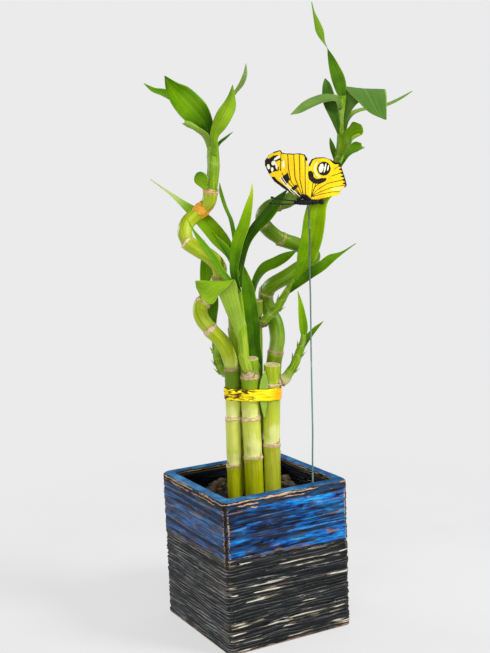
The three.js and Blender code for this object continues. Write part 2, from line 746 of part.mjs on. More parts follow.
for (const [name, stalk] of Object.entries(stalkPaths)) {
  addPiece(plant, name, stalkGeometry(stalk), stalkGreen);
}
for (const [name, shoot] of Object.entries(shoots)) {
  const cut = cutBy(shootGeometry(shoot), [grownCarrier(shootHolders[name])]);
  addPiece(plant, name, cut, shootGreen);
}
for (const [carrier, family] of Object.entries(leaves)) {
  const cutters = [grownCarrier(carrier)];
  for (const [name, leaf] of Object.entries(family)) {
    addPiece(plant, name, cutBy(leafGeometry(leaf), cutters), leafGreen);
  }
}

const wire = wireGeometry([pickFoot, pickTop], wireRadius, wireSides, 2);
const sleeveFoot = [pickFoot[0], pickFoot[1], pickFoot[2] - clearance];
const wireSleeve = wireGeometry([sleeveFoot, pickTop], wireRadius + clearance, wireSides, 2);
const stalkSleeves = Object.values(stalkPaths).map((stalk) => stalkGeometry(stalk, clearance));

addPiece(plant, "tucked_leaf", leafGeometry(tuckedLeaf), leafGreen);
addPiece(plant, "tie_band", bandGeometry(), goldFoil);
addPiece(plant, "gravel_bed", gravelGeometry([...stalkSleeves, wireSleeve]), gravelStone);
pebbles.forEach((pebble, k) => {
  addPiece(plant, `pebble_${k + 1}`, pebbleGeometry(pebble), gravelStone);
});
addPiece(plant, "pick_wire", cutBy(wire, [bodyGeometry(clearance)]), wireGreen);
addPiece(plant, "butterfly_body", bodyGeometry(), bodyBlack);
addPiece(plant, "butterfly_wing_left", wingGeometry(leftWing, wingYaw * -1), wingYellow);
addPiece(plant, "butterfly_wing_right", wingGeometry(rightWing, wingYaw), wingYellow);
for (const [name, path] of Object.entries(feelers)) {
  const feeler = wireGeometry(path, feelerRadius, feelerSides, 4);
  addPiece(plant, name, cutBy(feeler, [bodyGeometry(clearance)]), bodyBlack);
}

const group = new THREE.Group();
addPiece(group, "pot", potGeometry(), glaze);
group.add(plant);

export default group;
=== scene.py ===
"""The looks of a potted lucky bamboo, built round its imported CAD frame.

Shapes are worked out in millimetres and written to Blender in metres. The stalks, shoots and
leaves are given in the plant's own axes: +X across its broad side, -Y its front, +Z up. The
plant stands in the pot turned about Z.
"""

import math
import random

import bmesh
import bpy
from mathutils import Matrix, Vector, noise


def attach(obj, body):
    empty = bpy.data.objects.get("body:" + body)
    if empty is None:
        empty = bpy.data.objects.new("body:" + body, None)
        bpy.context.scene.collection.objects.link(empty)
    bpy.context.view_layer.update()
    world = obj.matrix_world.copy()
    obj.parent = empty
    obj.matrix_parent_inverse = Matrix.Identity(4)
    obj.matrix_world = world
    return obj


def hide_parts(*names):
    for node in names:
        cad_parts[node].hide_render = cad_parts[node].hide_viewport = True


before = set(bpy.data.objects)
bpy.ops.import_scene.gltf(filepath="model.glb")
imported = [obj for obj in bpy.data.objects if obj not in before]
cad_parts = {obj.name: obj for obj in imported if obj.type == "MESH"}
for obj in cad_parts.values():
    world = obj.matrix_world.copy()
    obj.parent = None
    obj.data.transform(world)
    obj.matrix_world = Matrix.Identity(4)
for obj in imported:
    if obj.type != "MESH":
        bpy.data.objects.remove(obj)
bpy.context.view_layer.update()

MM = 0.001
PLANT_TURN = Matrix.Rotation(math.radians(-28.5), 3, "Z")


# ---- camera ----

IMAGE_HEIGHT = 653
FOCAL_PIXELS = 1144.1
CAMERA_AZIMUTH = math.radians(-28.52)
CAMERA_ELEVATION = math.radians(8.19)
CAMERA_ROLL = math.radians(-2.31)
CAMERA_DISTANCE = 0.7352
CAMERA_AIM_HEIGHT = 0.196
CAMERA_AIM_ASIDE = -0.0009


def make_camera():
    """The long side of the picture is its height, so the sensor's 36 mm spans the height."""
    azimuth, elevation = CAMERA_AZIMUTH, CAMERA_ELEVATION
    back = Vector((
        math.sin(azimuth) * math.cos(elevation),
        -math.cos(azimuth) * math.cos(elevation),
        math.sin(elevation),
    ))
    right = Vector((math.cos(azimuth), math.sin(azimuth), 0))
    up = back.cross(right)
    rolled_right = right * math.cos(CAMERA_ROLL) + up * math.sin(CAMERA_ROLL)
    rolled_up = up * math.cos(CAMERA_ROLL) - right * math.sin(CAMERA_ROLL)
    data = bpy.data.cameras.new("camera")
    data.sensor_width = 36
    data.lens = FOCAL_PIXELS * data.sensor_width / IMAGE_HEIGHT
    camera = bpy.data.objects.new("camera", data)
    turn = Matrix((rolled_right, rolled_up, back)).transposed()
    aim = right * CAMERA_AIM_ASIDE + Vector((0, 0, CAMERA_AIM_HEIGHT))
    camera.matrix_world = Matrix.Translation(aim + back * CAMERA_DISTANCE) @ turn.to_4x4()
    bpy.context.scene.collection.objects.link(camera)
    bpy.context.scene.camera = camera


make_camera()


# ---- curves ----

def hermite(start, end, slope_start, slope_end, w):
    bend = (end - start) * 3 - slope_start * 2 - slope_end
    turn = (start - end) * 2 + slope_start + slope_end
    return start + (slope_start + (bend + turn * w) * w) * w


def curve_point(points, t, gaps=None):
    """A point of the centripetal Catmull-Rom curve through points, at t from 0 to 1.

    gaps are the knot gaps of each span, when another curve sets them.
    """
    spans = len(points) - 1
    place = min(max(t, 0), 1) * spans
    k = min(int(place), spans - 1)
    start, end = points[k], points[k + 1]
    before = points[k - 1] if k > 0 else start * 2 - end
    after = points[k + 2] if k + 2 <= spans else end * 2 - start
    if gaps:
        gap = gaps[k]
        gap_before = gaps[k - 1] if k > 0 else gap
        gap_after = gaps[k + 1] if k + 1 < spans else gap
    else:
        steps = (start - before, end - start, after - end)
        gap_before, gap, gap_after = (max(step.length ** 0.5, 1e-4) for step in steps)
    slope_start = (start - before) / gap_before - (end - before) / (gap_before + gap)
    slope_start += (end - start) / gap
    slope_end = (end - start) / gap - (after - start) / (gap + gap_after)
    slope_end += (after - end) / gap_after
    return hermite(start, end, slope_start * gap, slope_end * gap, place - k)


def value_along(values, t):
    """A smooth value between evenly spread ones, at t from 0 to 1."""
    spans = len(values) - 1
    if spans == 0:
        return values[0]
    place = min(max(t, 0), 1) * spans
    k = min(int(place), spans - 1)
    before = values[max(k - 1, 0)]
    after = values[min(k + 2, spans)]
    start, end = values[k], values[k + 1]
    return hermite(start, end, (end - before) / 2, (after - start) / 2, place - k)


def mixed_along(vectors, t):
    place = min(max(t, 0), 1) * (len(vectors) - 1)
    k = min(int(place), max(len(vectors) - 2, 0))
    after = vectors[min(k + 1, len(vectors) - 1)]
    return vectors[k].lerp(after, place - k)


def even_stations(points, step):
    """Curve parameters about a step apart along the curve, with the length up to each."""
    fine = 40 * (len(points) - 1)
    lengths = [0.0]
    last = curve_point(points, 0)
    for k in range(1, fine + 1):
        here = curve_point(points, k / fine)
        lengths.append(lengths[-1] + (here - last).length)
        last = here
    count = max(4, round(lengths[-1] / step))
    stations = []
    k = 0
    for n in range(count + 1):
        wanted = lengths[-1] * n / count
        while k < fine - 1 and lengths[k + 1] < wanted:
            k += 1
        span = max(lengths[k + 1] - lengths[k], 1e-9)
        t = (k + (wanted - lengths[k]) / span) / fine
        stations.append((min(t, 1), wanted))
    return stations


def curve_tangent(points, t):
    small = 1e-3
    low, high = max(t - small, 0), min(t + small, 1)
    return (curve_point(points, high) - curve_point(points, low)).normalized()


def carried_frames(points, ts):
    """Points with a side vector that follows the curve without twist."""
    side = Vector((1, 0, 0))
    frames = []
    for t in ts:
        tangent = curve_tangent(points, t)
        side = (side - tangent * side.dot(tangent)).normalized()
        frames.append((curve_point(points, t), side.copy(), tangent.cross(side), tangent))
    return frames


def bump(distance, width):
    """1 at no distance, falling smoothly to 0 over about twice the width."""
    return math.exp(-((distance / width) ** 2))


def smooth_step(low, high, x):
    w = min(max((x - low) / (high - low), 0), 1)
    return w * w * (3 - 2 * w)


# ---- meshes ----

def add_piece(name, points, faces, tags, material, slot, node=None, in_plant=True, flat=False):
    """A mesh from points in millimetres. tags are named lists of one number per point."""
    turn = PLANT_TURN if in_plant else Matrix.Identity(3)
    mesh = bpy.data.meshes.new(name)
    mesh.from_pydata([(turn @ Vector(point)) * MM for point in points], [], faces)
    for tag, values in tags.items():
        layer = mesh.attributes.new(tag, "FLOAT", "POINT")
        layer.data.foreach_set("value", values)
    mesh.polygons.foreach_set("use_smooth", [not flat] * len(mesh.polygons))
    mesh.materials.append(material)
    mesh.validate()
    mesh.update()
    piece = bpy.data.objects.new(name, mesh)
    bpy.context.scene.collection.objects.link(piece)
    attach(piece, "root")
    if node:
        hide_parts(node)
    return piece


def note(tags, **values):
    """Add a point's tags."""
    for name, value in values.items():
        tags.setdefault(name, []).append(value)


def angles(sides):
    """Even angles once round."""
    return [2 * math.pi * k / sides for k in range(sides)]


def ring_faces(rings, sides):
    """Faces of a tube of closed rings, with flat ends."""
    faces = []
    for low in range(0, (rings - 1) * sides, sides):
        for k in range(sides):
            after = (k + 1) % sides
            faces.append((low + k, low + after, low + sides + after, low + sides + k))
    faces.append(tuple(reversed(range(sides))))
    faces.append(tuple(range((rings - 1) * sides, rings * sides)))
    return faces


def shell_faces(first, rows, columns):
    """Faces of a sheet with an outer and an inner grid of points, closed round its border."""
    wide = columns + 1
    size = (rows + 1) * wide
    faces = []
    for row in range(rows):
        for column in range(columns):
            a = first + row * wide + column
            faces.append((a, a + 1, a + wide + 1, a + wide))
            b = a + size
            faces.append((b, b + wide, b + wide + 1, b + 1))
    border = [first + column for column in range(columns)]
    border += [first + row * wide + columns for row in range(rows)]
    border += [first + rows * wide + column for column in range(columns, 0, -1)]
    border += [first + row * wide for row in range(rows, 0, -1)]
    for a, b in zip(border, border[1:] + border[:1]):
        faces.append((a + size, b + size, b, a))
    return faces


# ---- material helpers ----

class Shader:
    """A node material that is built a node at a time. Colours are given as web colours."""

    def __init__(self, name, **constants):
        self.material = bpy.data.materials.new(name)
        self.material.use_nodes = True
        self.tree = self.material.node_tree
        self.surface = self.tree.nodes["Principled BSDF"]
        self.set(self.surface, constants)

    def set(self, node, inputs):
        for key, value in inputs.items():
            socket = node.inputs[key.replace("_", " ") if isinstance(key, str) else key]
            if isinstance(value, bpy.types.NodeSocket):
                self.tree.links.new(value, socket)
            else:
                socket.default_value = rgb(value) if isinstance(value, str) else value

    def node(self, kind, inputs=None, output=0, **settings):
        node = self.tree.nodes.new(kind)
        for key, value in settings.items():
            setattr(node, key, value)
        self.set(node, inputs or {})
        return node.outputs[output]

    def tag(self, name):
        node = self.tree.nodes.new("ShaderNodeAttribute")
        node.attribute_name = name
        return node.outputs["Fac"]

    def place(self):
        return self.node("ShaderNodeTexCoord", output="Object")

    def math(self, operation, first, second=0.0, clamp=False):
        return self.node(
            "ShaderNodeMath", {0: first, 1: second}, operation=operation, use_clamp=clamp,
        )

    def plus(self, first, second, clamp=False):
        return self.math("ADD", first, second, clamp)

    def minus(self, first, second):
        return self.math("SUBTRACT", first, second)

    def times(self, first, second):
        return self.math("MULTIPLY", first, second)

    def higher(self, first, second):
        return self.math("MAXIMUM", first, second)

    def size(self, value):
        return self.math("ABSOLUTE", value)

    def sine(self, value):
        return self.math("SINE", value)

    def stretch(self, vector, scale):
        return self.node("ShaderNodeMapping", {"Vector": vector, "Scale": scale})

    def noise(self, vector, scale, detail=3.0, roughness=0.55):
        return self.node(
            "ShaderNodeTexNoise",
            {"Vector": vector, "Scale": scale, "Detail": detail, "Roughness": roughness},
        )

    def grain(self, vector, scale, detail, roughness=0.55):
        """Noise with its own scale along each axis."""
        return self.noise(self.stretch(vector, scale), 1, detail, roughness)

    def ramp(self, value, low, high, to_low=0.0, to_high=1.0):
        """A smooth step of value from low..high to to_low..to_high."""
        return self.node(
            "ShaderNodeMapRange",
            {"Value": value, 1: low, 2: high, 3: to_low, 4: to_high},
            interpolation_type="SMOOTHSTEP",
        )

    def mix(self, factor, first, second):
        return self.node(
            "ShaderNodeMix", {0: factor, 6: first, 7: second}, output=2, data_type="RGBA",
        )

    def colours(self, value, stops):
        """A colour ramp through stops, each a position and a web colour."""
        node = self.tree.nodes.new("ShaderNodeValToRGB")
        ramp = node.color_ramp
        while len(ramp.elements) < len(stops):
            ramp.elements.new(0.5)
        for element, (position, code) in zip(ramp.elements, stops):
            element.position = position
            element.color = rgb(code)
        self.tree.links.new(value, node.inputs["Fac"])
        return node.outputs["Color"]

    def bump(self, height, distance, strength):
        inputs = {"Height": height, "Distance": distance, "Strength": strength}
        return self.node("ShaderNodeBump", inputs)

    def paint(self, colour, normal, **others):
        """Give the surface its colour and relief. The result is the finished material."""
        self.set(self.surface, {"Base Color": colour, "Normal": normal, **others})
        return self.material


def rgb(code):
    """A linear colour from a six-digit web colour."""
    channels = [int(code[k:k + 2], 16) / 255 for k in (0, 2, 4)]
    linear = [c / 12.92 if c < 0.04045 else ((c + 0.055) / 1.055) ** 2.4 for c in channels]
    return (*linear, 1)


# ---- materials ----

def leaf_material():
    """Tone runs from dark to bright green and carries painted shade and light: darker leaf bases,
    darker leaves in shade, one half of some folds lighter. under, pale, grey and yellow shift it.
    """
    s = Shader("leaf", Specular_IOR_Level=0.14, Specular_Tint=(0.8, 1, 0.4, 1))
    across, along = s.tag("across"), s.tag("along")
    place = s.place()
    blade = s.node("ShaderNodeCombineXYZ", {"X": s.times(across, 9), "Y": along})
    streaks = s.noise(s.stretch(blade, (1, 1.4, 1)), 1.2, 4)
    blotches = s.noise(place, 70, 3)
    fine = s.sine(s.times(across, 52))
    broad = s.sine(s.plus(s.times(across, 17), streaks))
    tone = s.plus(s.tag("tone"), s.ramp(streaks, 0.3, 0.7, -0.05, 0.05))
    tone = s.plus(tone, s.ramp(blotches, 0.35, 0.65, -0.07, 0.07))
    tone = s.plus(tone, s.times(fine, 0.015))
    tone = s.plus(tone, s.times(broad, 0.015), clamp=True)
    green = s.colours(tone, [
        (0.0, "0e2600"), (0.3, "2c5600"), (0.6, "568400"), (1.0, "90b400"),
    ])
    under = s.colours(tone, [
        (0.0, "2c5008"), (0.5, "6e9020"), (1.0, "a0ba40"),
    ])
    colour = s.mix(s.times(s.tag("under"), 0.85), green, under)
    colour = s.mix(s.tag("grey"), colour, "5a7e3a")
    colour = s.mix(s.tag("pale"), colour, "c8d88a")
    colour = s.mix(s.tag("yellow"), colour, "d5d23a")
    width = s.size(across)
    rim = s.ramp(width, 0.9, 0.985)
    colour = s.mix(s.times(rim, 0.4), colour, "a9c85a")
    midrib = s.ramp(width, 0.02, 0.08, 0.08, 0)
    colour = s.mix(midrib, colour, "9dc05a")
    ridges = s.plus(s.times(fine, 0.5), s.times(broad, 0.8))
    ridges = s.plus(ridges, s.times(streaks, 1.5))
    normal = s.bump(ridges, 0.00006, 0.4)
    roughness = s.ramp(streaks, 0.3, 0.7, 0.34, 0.5)
    return s.paint(colour, normal, Roughness=roughness)


def along_stem(s, squeeze):
    """A vector that stretches a texture into streaks along a stem."""
    run = s.times(s.tag("run"), squeeze)
    return s.node(
        "ShaderNodeCombineXYZ", {"X": s.tag("stem_x"), "Y": s.tag("stem_y"), "Z": run},
    )


def stalk_green(s, streaks, height_mm):
    """Pale yellow-green low down, deep green above, with streaks between a light and a dark."""
    over = s.tag("over")
    level = s.plus(height_mm, s.ramp(streaks, 0.3, 0.7, -9, 9))
    green = s.colours(s.ramp(level, 110, 190), [
        (0.0, "c4cc38"), (0.3, "bcc834"), (0.6, "84a014"), (1.0, "729600"),
    ])
    dark = s.colours(s.ramp(level, 110, 190), [
        (0.0, "a6b620"), (0.3, "9aac16"), (0.6, "648600"), (1.0, "507600"),
    ])
    foot = s.times(s.ramp(over, 30, 55), s.ramp(height_mm, 150, 130))
    green = s.mix(foot, green, "acb200")
    dark = s.mix(foot, dark, "8e9600")
    colour = s.mix(s.ramp(streaks, 0.3, 0.62), dark, green)
    tone, upper = s.tag("tone"), s.ramp(height_mm, 150, 154)
    yellow = s.mix(s.ramp(streaks, 0.3, 0.62), "98ac06", "bcc828")
    yellow = s.mix(upper, "d6da6c", yellow)
    colour = s.mix(s.ramp(tone, 0, 1, 0, 0.7), colour, yellow)
    return s.mix(s.times(s.ramp(tone, 0, -1, 0, 0.65), upper), colour, "406000")


def stalk_ring(s, fine, height_mm, colour):
    """A tan band with a dark line on each side, at every node ring."""
    distance = s.plus(s.tag("near"), s.ramp(fine, 0.3, 0.7, -0.35, 0.45))
    distance = s.plus(distance, s.ramp(height_mm, 160, 168, 0, 0.32))
    tan = s.colours(s.noise(along_stem(s, 1.5), 1.6, 4), [
        (0.3, "7a4a22"), (0.44, "cfa676"), (0.64, "f0dcba"),
    ])
    colour = s.mix(s.ramp(distance, 0.45, 0.8, 0.9, 0), colour, tan)
    line = s.ramp(s.size(s.minus(distance, 0.8)), 0.05, 0.2, 0.7, 0)
    return s.mix(line, colour, "4a2c12")


def sawn_wood(s):
    """Cream wood with a green rind. core is 0 at the middle and 1 at the outside."""
    core = s.tag("core")
    wood = s.colours(s.noise(s.place(), 1500, 3), [
        (0.3, "b48e60"), (0.5, "e2c89a"), (0.7, "f2e4c6"),
    ])
    wood = s.mix(s.ramp(core, 0.78, 0.92), wood, "e9e2b4")
    return s.mix(s.ramp(core, 0.93, 0.99, 0, 0.8), wood, "9aa23c")


def stalk_material():
    """near and over are millimetres from the node rings; cut marks a sawn top."""
    s = Shader("stalk", Specular_IOR_Level=0.3, Specular_Tint=(0.9, 1, 0.6, 1))
    near, over = s.tag("near"), s.tag("over")
    streaks = s.noise(along_stem(s, 0.06), 0.9, 4)
    fine = s.noise(along_stem(s, 0.1), 3.5, 3)
    patches = s.noise(s.place(), 45, 3)
    height = s.node("ShaderNodeSeparateXYZ", {0: s.place()}, output=2)
    height_mm = s.times(height, 1000)
    colour = stalk_green(s, streaks, height_mm)
    low_down = s.ramp(height_mm, 190, 130, 0.12, 1)
    light = s.higher(s.ramp(fine, 0.45, 0.8, 0, 0.25), s.ramp(patches, 0.52, 0.75, 0, 0.3))
    colour = s.mix(s.times(light, low_down), colour, "d2da58")
    reach = s.plus(over, s.ramp(patches, 0.35, 0.65, 9, -9))
    reach = s.plus(reach, s.ramp(streaks, 0.35, 0.65, 2.5, -2.5))
    colour = s.mix(s.times(s.ramp(reach, -2, 12, 0.7, 0), low_down), colour, "e6e69a")
    below = s.times(s.ramp(near, 0.4, 3, 0.5, 0), s.ramp(over, 3, 8))
    colour = s.mix(below, colour, "b9b24c")
    colour = stalk_ring(s, fine, height_mm, colour)
    squat = s.stretch(s.place(), (1, 1, 0.35))
    speck = s.node("ShaderNodeTexVoronoi", {"Vector": squat, "Scale": 190})
    speck = s.times(s.ramp(speck, 0.05, 0.11, 1, 0), s.ramp(patches, 0.52, 0.6))
    colour = s.mix(s.times(speck, 0.8), colour, "2f3206")
    colour = s.mix(s.tag("cut"), colour, sawn_wood(s))
    normal = s.bump(s.plus(s.times(fine, 0.8), streaks), 0.0003, 0.45)
    return s.paint(colour, normal, Roughness=s.ramp(streaks, 0.3, 0.7, 0.28, 0.46))


def husk_material():
    s = Shader("husk", Specular_IOR_Level=0.25, Roughness=0.75)
    fibres = s.noise(along_stem(s, 0.35), 4, 4)
    colour = s.colours(fibres, [
        (0.25, "80502a"), (0.38, "cb9f70"), (0.52, "ecd2aa"), (0.8, "f8ead0"),
    ])
    edge, hue = s.tag("edge"), s.tag("hue")
    colour = s.mix(s.ramp(hue, -1, 0, 0.75, 0), colour, "5a3316")
    warm = s.mix(s.ramp(fibres, 0.35, 0.65), "c98a64", "e2ab86")
    colour = s.mix(s.ramp(hue, 0, 0.5, 0, 0.85), colour, warm)
    orange = s.mix(s.ramp(fibres, 0.35, 0.65), "e87f2c", "f2c52e")
    colour = s.mix(s.ramp(hue, 0.5, 1, 0, 0.95), colour, orange)
    colour = s.mix(s.ramp(edge, 0.8, 1, 0, 0.6), colour, "4d2c15")
    return s.paint(colour, s.bump(fibres, 0.0003, 0.8))


def shoot_material():
    """edge is how near a sheath's free edge is, 0 to 1; root is 1 where the shoot sprouts."""
    s = Shader("shoot", Specular_IOR_Level=0.2)
    streaks = s.noise(along_stem(s, 0.05), 1.6, 4)
    fine = s.sine(s.times(s.tag("turn"), 46))
    patches = s.noise(s.place(), 80, 3)
    tone = s.plus(s.tag("tone"), s.ramp(streaks, 0.3, 0.7, -0.18, 0.18))
    tone = s.plus(tone, s.times(fine, 0.04), clamp=True)
    colour = s.colours(tone, [
        (0.0, "2a5400"), (0.35, "5c8600"), (0.7, "8fb014"), (1.0, "bccb4c"),
    ])
    colour = s.mix(s.ramp(patches, 0.5, 0.7, 0, 0.25), colour, "b9cf6c")
    colour = s.mix(s.tag("root"), colour, "d8cf90")
    edge = s.tag("edge")
    colour = s.mix(s.times(edge, 0.22), colour, "cfd68c")
    speck = s.node("ShaderNodeTexVoronoi", {"Vector": s.place(), "Scale": 420})
    speck = s.times(s.ramp(speck, 0.06, 0.14, 0.7, 0), edge)
    colour = s.mix(speck, colour, "6b4a22")
    relief = s.plus(s.times(fine, 0.5), s.times(streaks, 1.5))
    normal = s.bump(relief, 0.0002, 0.6)
    return s.paint(colour, normal, Roughness=0.42)


def charcoal_glaze(s, place, flow, scratches, dashes):
    """Slate black, with thin grey lines, and cream dashes on the brighter faces. The left face is
    painted a lighter grey with darker grooves, painted sheen and shade; the grey lines are painted
    sheen; the near-white dashes on crests are painted highlights.
    """
    crest, dull = s.tag("crest"), s.tag("dull")
    off_sheen_side = s.minus(1, s.times(dull, 0.85))
    colour = s.colours(s.plus(flow, s.times(crest, 0.12)), [
        (0.38, "030405"), (0.52, "0a0e11"), (0.75, "20272b"),
    ])
    # The left face is mixed towards a lighter grey: painted sheen.
    warmth = s.grain(place, (30, 30, 60), 3)
    painted_sheen_grey = s.mix(s.ramp(warmth, 0.4, 0.62), "2e3236", "423f3f")
    colour = s.mix(s.times(dull, 0.75), colour, painted_sheen_grey)
    # Grooves on the left face are darkened between its lighter crests: painted shade.
    hollow = s.times(s.ramp(crest, 0.35, 0), dull)
    colour = s.mix(s.times(hollow, 0.7), colour, "08090a")
    # The grey lines along the fine comb ridges are painted sheen, strongest on the left face.
    colour = s.mix(s.times(s.times(scratches, dull), 0.7), colour, "9a9a98")
    colour = s.mix(s.times(s.times(scratches, off_sheen_side), 0.4), colour, "77756f")
    weak = s.ramp(s.grain(place, (30, 30, 60), 2), 0.44, 0.58)
    bare = s.times(s.times(s.ramp(dashes, 0.52, 0.56), s.ramp(crest, 0.45, 0.75)), weak)
    edge = s.ramp(s.size(s.minus(dashes, 0.525)), 0.005, 0.02, 0.8, 0)
    colour = s.mix(s.times(edge, off_sheen_side), colour, "010202")
    colour = s.mix(s.times(s.times(bare, off_sheen_side), 0.85), colour, "95866f")
    # Near-white dashes on the crests away from the left face are painted highlights.
    bright = s.times(s.ramp(dashes, 0.59, 0.62), s.ramp(crest, 0.5, 0.8))
    return s.mix(s.times(s.times(bright, off_sheen_side), 0.9), colour, "dcd5c4")


def blue_glaze(s, place, scratches, dashes):
    """Cobalt pools with navy hollows, purple-grey patches and thin tan crests, with a painted
    highlight towards the right end of the right face and a painted grey-blue sheen on the left face.
    """
    crest, dull = s.tag("crest"), s.tag("dull")
    patch = s.grain(place, (45, 45, 210), 4)
    pools = s.grain(place, (70, 70, 430), 4, 0.6)
    # The bright tag lifts the blue towards the right end of the right face: a painted highlight.
    tint = s.plus(pools, s.times(s.tag("bright"), 0.06))
    tint = s.plus(tint, s.times(crest, 0.06))
    colour = s.colours(tint, [
        (0.43, "000a1c"), (0.48, "003072"), (0.55, "005eae"), (0.64, "047ec4"), (0.74, "36a2da"),
    ])
    colour = s.mix(s.ramp(patch, 0.5, 0.57, 0, 0.75), colour, "262a3a")
    # The left face turns grey-blue: painted sheen.
    colour = s.mix(s.times(dull, 0.5), colour, "4e5c78")
    colour = s.mix(s.times(s.ramp(crest, 0.35, 0.05), 0.7), colour, "02050e")
    colour = s.mix(s.times(scratches, 0.55), colour, "04060d")
    bare = s.times(s.ramp(dashes, 0.56, 0.6), s.ramp(crest, 0.6, 0.85))
    return s.mix(s.times(bare, 0.85), colour, "8d6f58")


# Level scratches: radians of their wave for each metre of height, and how far it wanders.
SCRATCH_WAVE = 3100
SCRATCH_WANDER = 17
# Tan lines round the rim: [height, half width, the noise level under which a line breaks].
RIM_LINES = [(0.0961, 0.00045, 0.4), (0.0939, 0.00035, 0.53), (0.0916, 0.0003, 0.6)]


def worn_corners(s, place, zone, colour):
    """Black corners with a column of tan beads, which fades where the charcoal starts."""
    beads = s.grain(place, (500, 500, 800), 2)
    edge = s.plus(s.tag("corner"), s.ramp(beads, 0.3, 0.7, -0.2, 0.2))
    wide = s.ramp(edge, 0.45, 0.53, 0, 0.9)
    black = s.higher(s.ramp(edge, 0.7, 0.8, 0, 0.9), s.ramp(zone, -6, -1, 0, wide))
    colour = s.mix(black, colour, "060607")
    away = s.size(s.minus(edge, 0.57))
    bead = s.times(s.ramp(away, 0.06, 0.12, 1, 0), s.ramp(beads, 0.47, 0.55))
    bead = s.times(bead, s.ramp(zone, -6, -1, 0.06, 1))
    return s.mix(bead, colour, "b5936c")


def rim_glaze(s, place, height, colour):
    """Broken tan lines in a dark band under the rim, partly dark glaze and partly painted shadow, a
    blue rim, a dark inside that is painted shade, and a bare foot.
    """
    wave = s.ramp(s.grain(place, (120, 120, 400), 4, 0.65), 0.3, 0.7, -0.0006, 0.0006)
    breaks = s.grain(place, (75, 75, 300), 2)
    level = s.plus(height, wave)
    # The band under the rim is dark brown glaze and partly painted shadow.
    colour = s.mix(s.ramp(level, 0.0905, 0.0935, 0, 0.85), colour, "16110d")
    for line, half, gaps in RIM_LINES:
        away = s.size(s.minus(level, line))
        whole = s.ramp(breaks, gaps - 0.06, gaps + 0.02)
        colour = s.mix(s.times(s.ramp(away, half * 0.5, half, 1, 0), whole), colour, "c39d74")
    # The inside is painted near black, darker than the glaze alone: painted shade in the pot.
    inner = s.colours(s.ramp(height, 0.086, 0.0966), [
        (0.0, "020203"), (0.7, "040a1c"), (0.87, "0b0d12"), (0.91, "765c40"), (0.94, "0d0b0a"),
    ])
    colour = s.mix(s.tag("inside"), colour, inner)
    pool = s.noise(place, 110, 3)
    rim = s.colours(pool, [(0.3, "063460"), (0.5, "14568c"), (0.72, "3c8cc0")])
    # The rim on the left face turns paler blue: painted sheen.
    rim = s.mix(s.times(s.tag("dull"), 0.3), rim, "5084b0")
    above = s.ramp(s.plus(height, s.times(wave, 0.4)), 0.0968, 0.0973)
    colour = s.mix(s.times(s.tag("rim"), above), colour, rim)
    foot = s.ramp(s.plus(height, s.times(wave, 0.8)), 0.0007, 0.0013, 0.8, 0)
    return s.mix(foot, colour, "9b8165")


def pot_material():
    """Blue glaze over the upper part and charcoal below. zone is millimetres over their edge."""
    s = Shader("pot_glaze", Specular_IOR_Level=0.2)
    place = s.place()
    height = s.node("ShaderNodeSeparateXYZ", {0: place}, output=2)
    zone = s.tag("zone")
    flow = s.grain(place, (24, 24, 320), 4, 0.6)
    runs = s.grain(place, (26, 26, 300), 3)
    glints = s.grain(place, (60, 60, 260), 2)
    dashes = s.grain(place, (42, 42, 420), 2)
    wander = s.grain(place, (28, 28, 120), 3)
    phase = s.plus(s.times(height, SCRATCH_WAVE), s.times(wander, SCRATCH_WANDER))
    gate = s.ramp(s.grain(place, (32, 32, 260), 3), 0.38, 0.62)
    scratches = s.times(s.ramp(s.sine(phase), 0.4, 0.9), gate)
    charcoal = charcoal_glaze(s, place, flow, scratches, dashes)
    blue = blue_glaze(s, place, scratches, dashes)
    colour = s.mix(s.ramp(zone, -1.0, 1.0), charcoal, blue)
    seam = s.times(s.ramp(s.size(zone), 0.3, 1.3, 0.6, 0), s.ramp(runs, 0.45, 0.6))
    colour = s.mix(seam, colour, "6b5648")
    colour = worn_corners(s, place, zone, colour)
    colour = rim_glaze(s, place, height, colour)
    relief = s.plus(flow, s.times(s.noise(place, 900, 3), 0.2))
    relief = s.plus(relief, s.times(glints, 2.5))
    relief = s.plus(relief, s.times(scratches, 0.8))
    roughness = s.plus(s.ramp(glints, 0.52, 0.66, 0.48, 0.16), s.times(s.tag("dull"), 0.3))
    return s.paint(colour, s.bump(relief, 0.0006, 0.6), Roughness=roughness)


def stone_material():
    s = Shader("gravel_stone", Specular_IOR_Level=0.35)
    place = s.place()
    veins = s.noise(place, 300, 5)
    tone = s.plus(s.tag("shade"), s.ramp(veins, 0.3, 0.7, -0.35, 0.35), clamp=True)
    # The stones keep their own browns but are darkened overall: painted shade inside the pot.
    colour = s.colours(tone, [
        (0.0, "0c0906"), (0.4, "221a12"), (0.7, "443726"), (1.0, "6b5a42"),
    ])
    grit = s.noise(place, 2200, 2)
    colour = s.mix(s.ramp(grit, 0.6, 0.75, 0, 0.3), colour, "75695b")
    normal = s.bump(s.plus(veins, s.times(grit, 0.4)), 0.0004, 0.6)
    return s.paint(colour, normal, Roughness=s.ramp(veins, 0.3, 0.7, 0.6, 0.85))


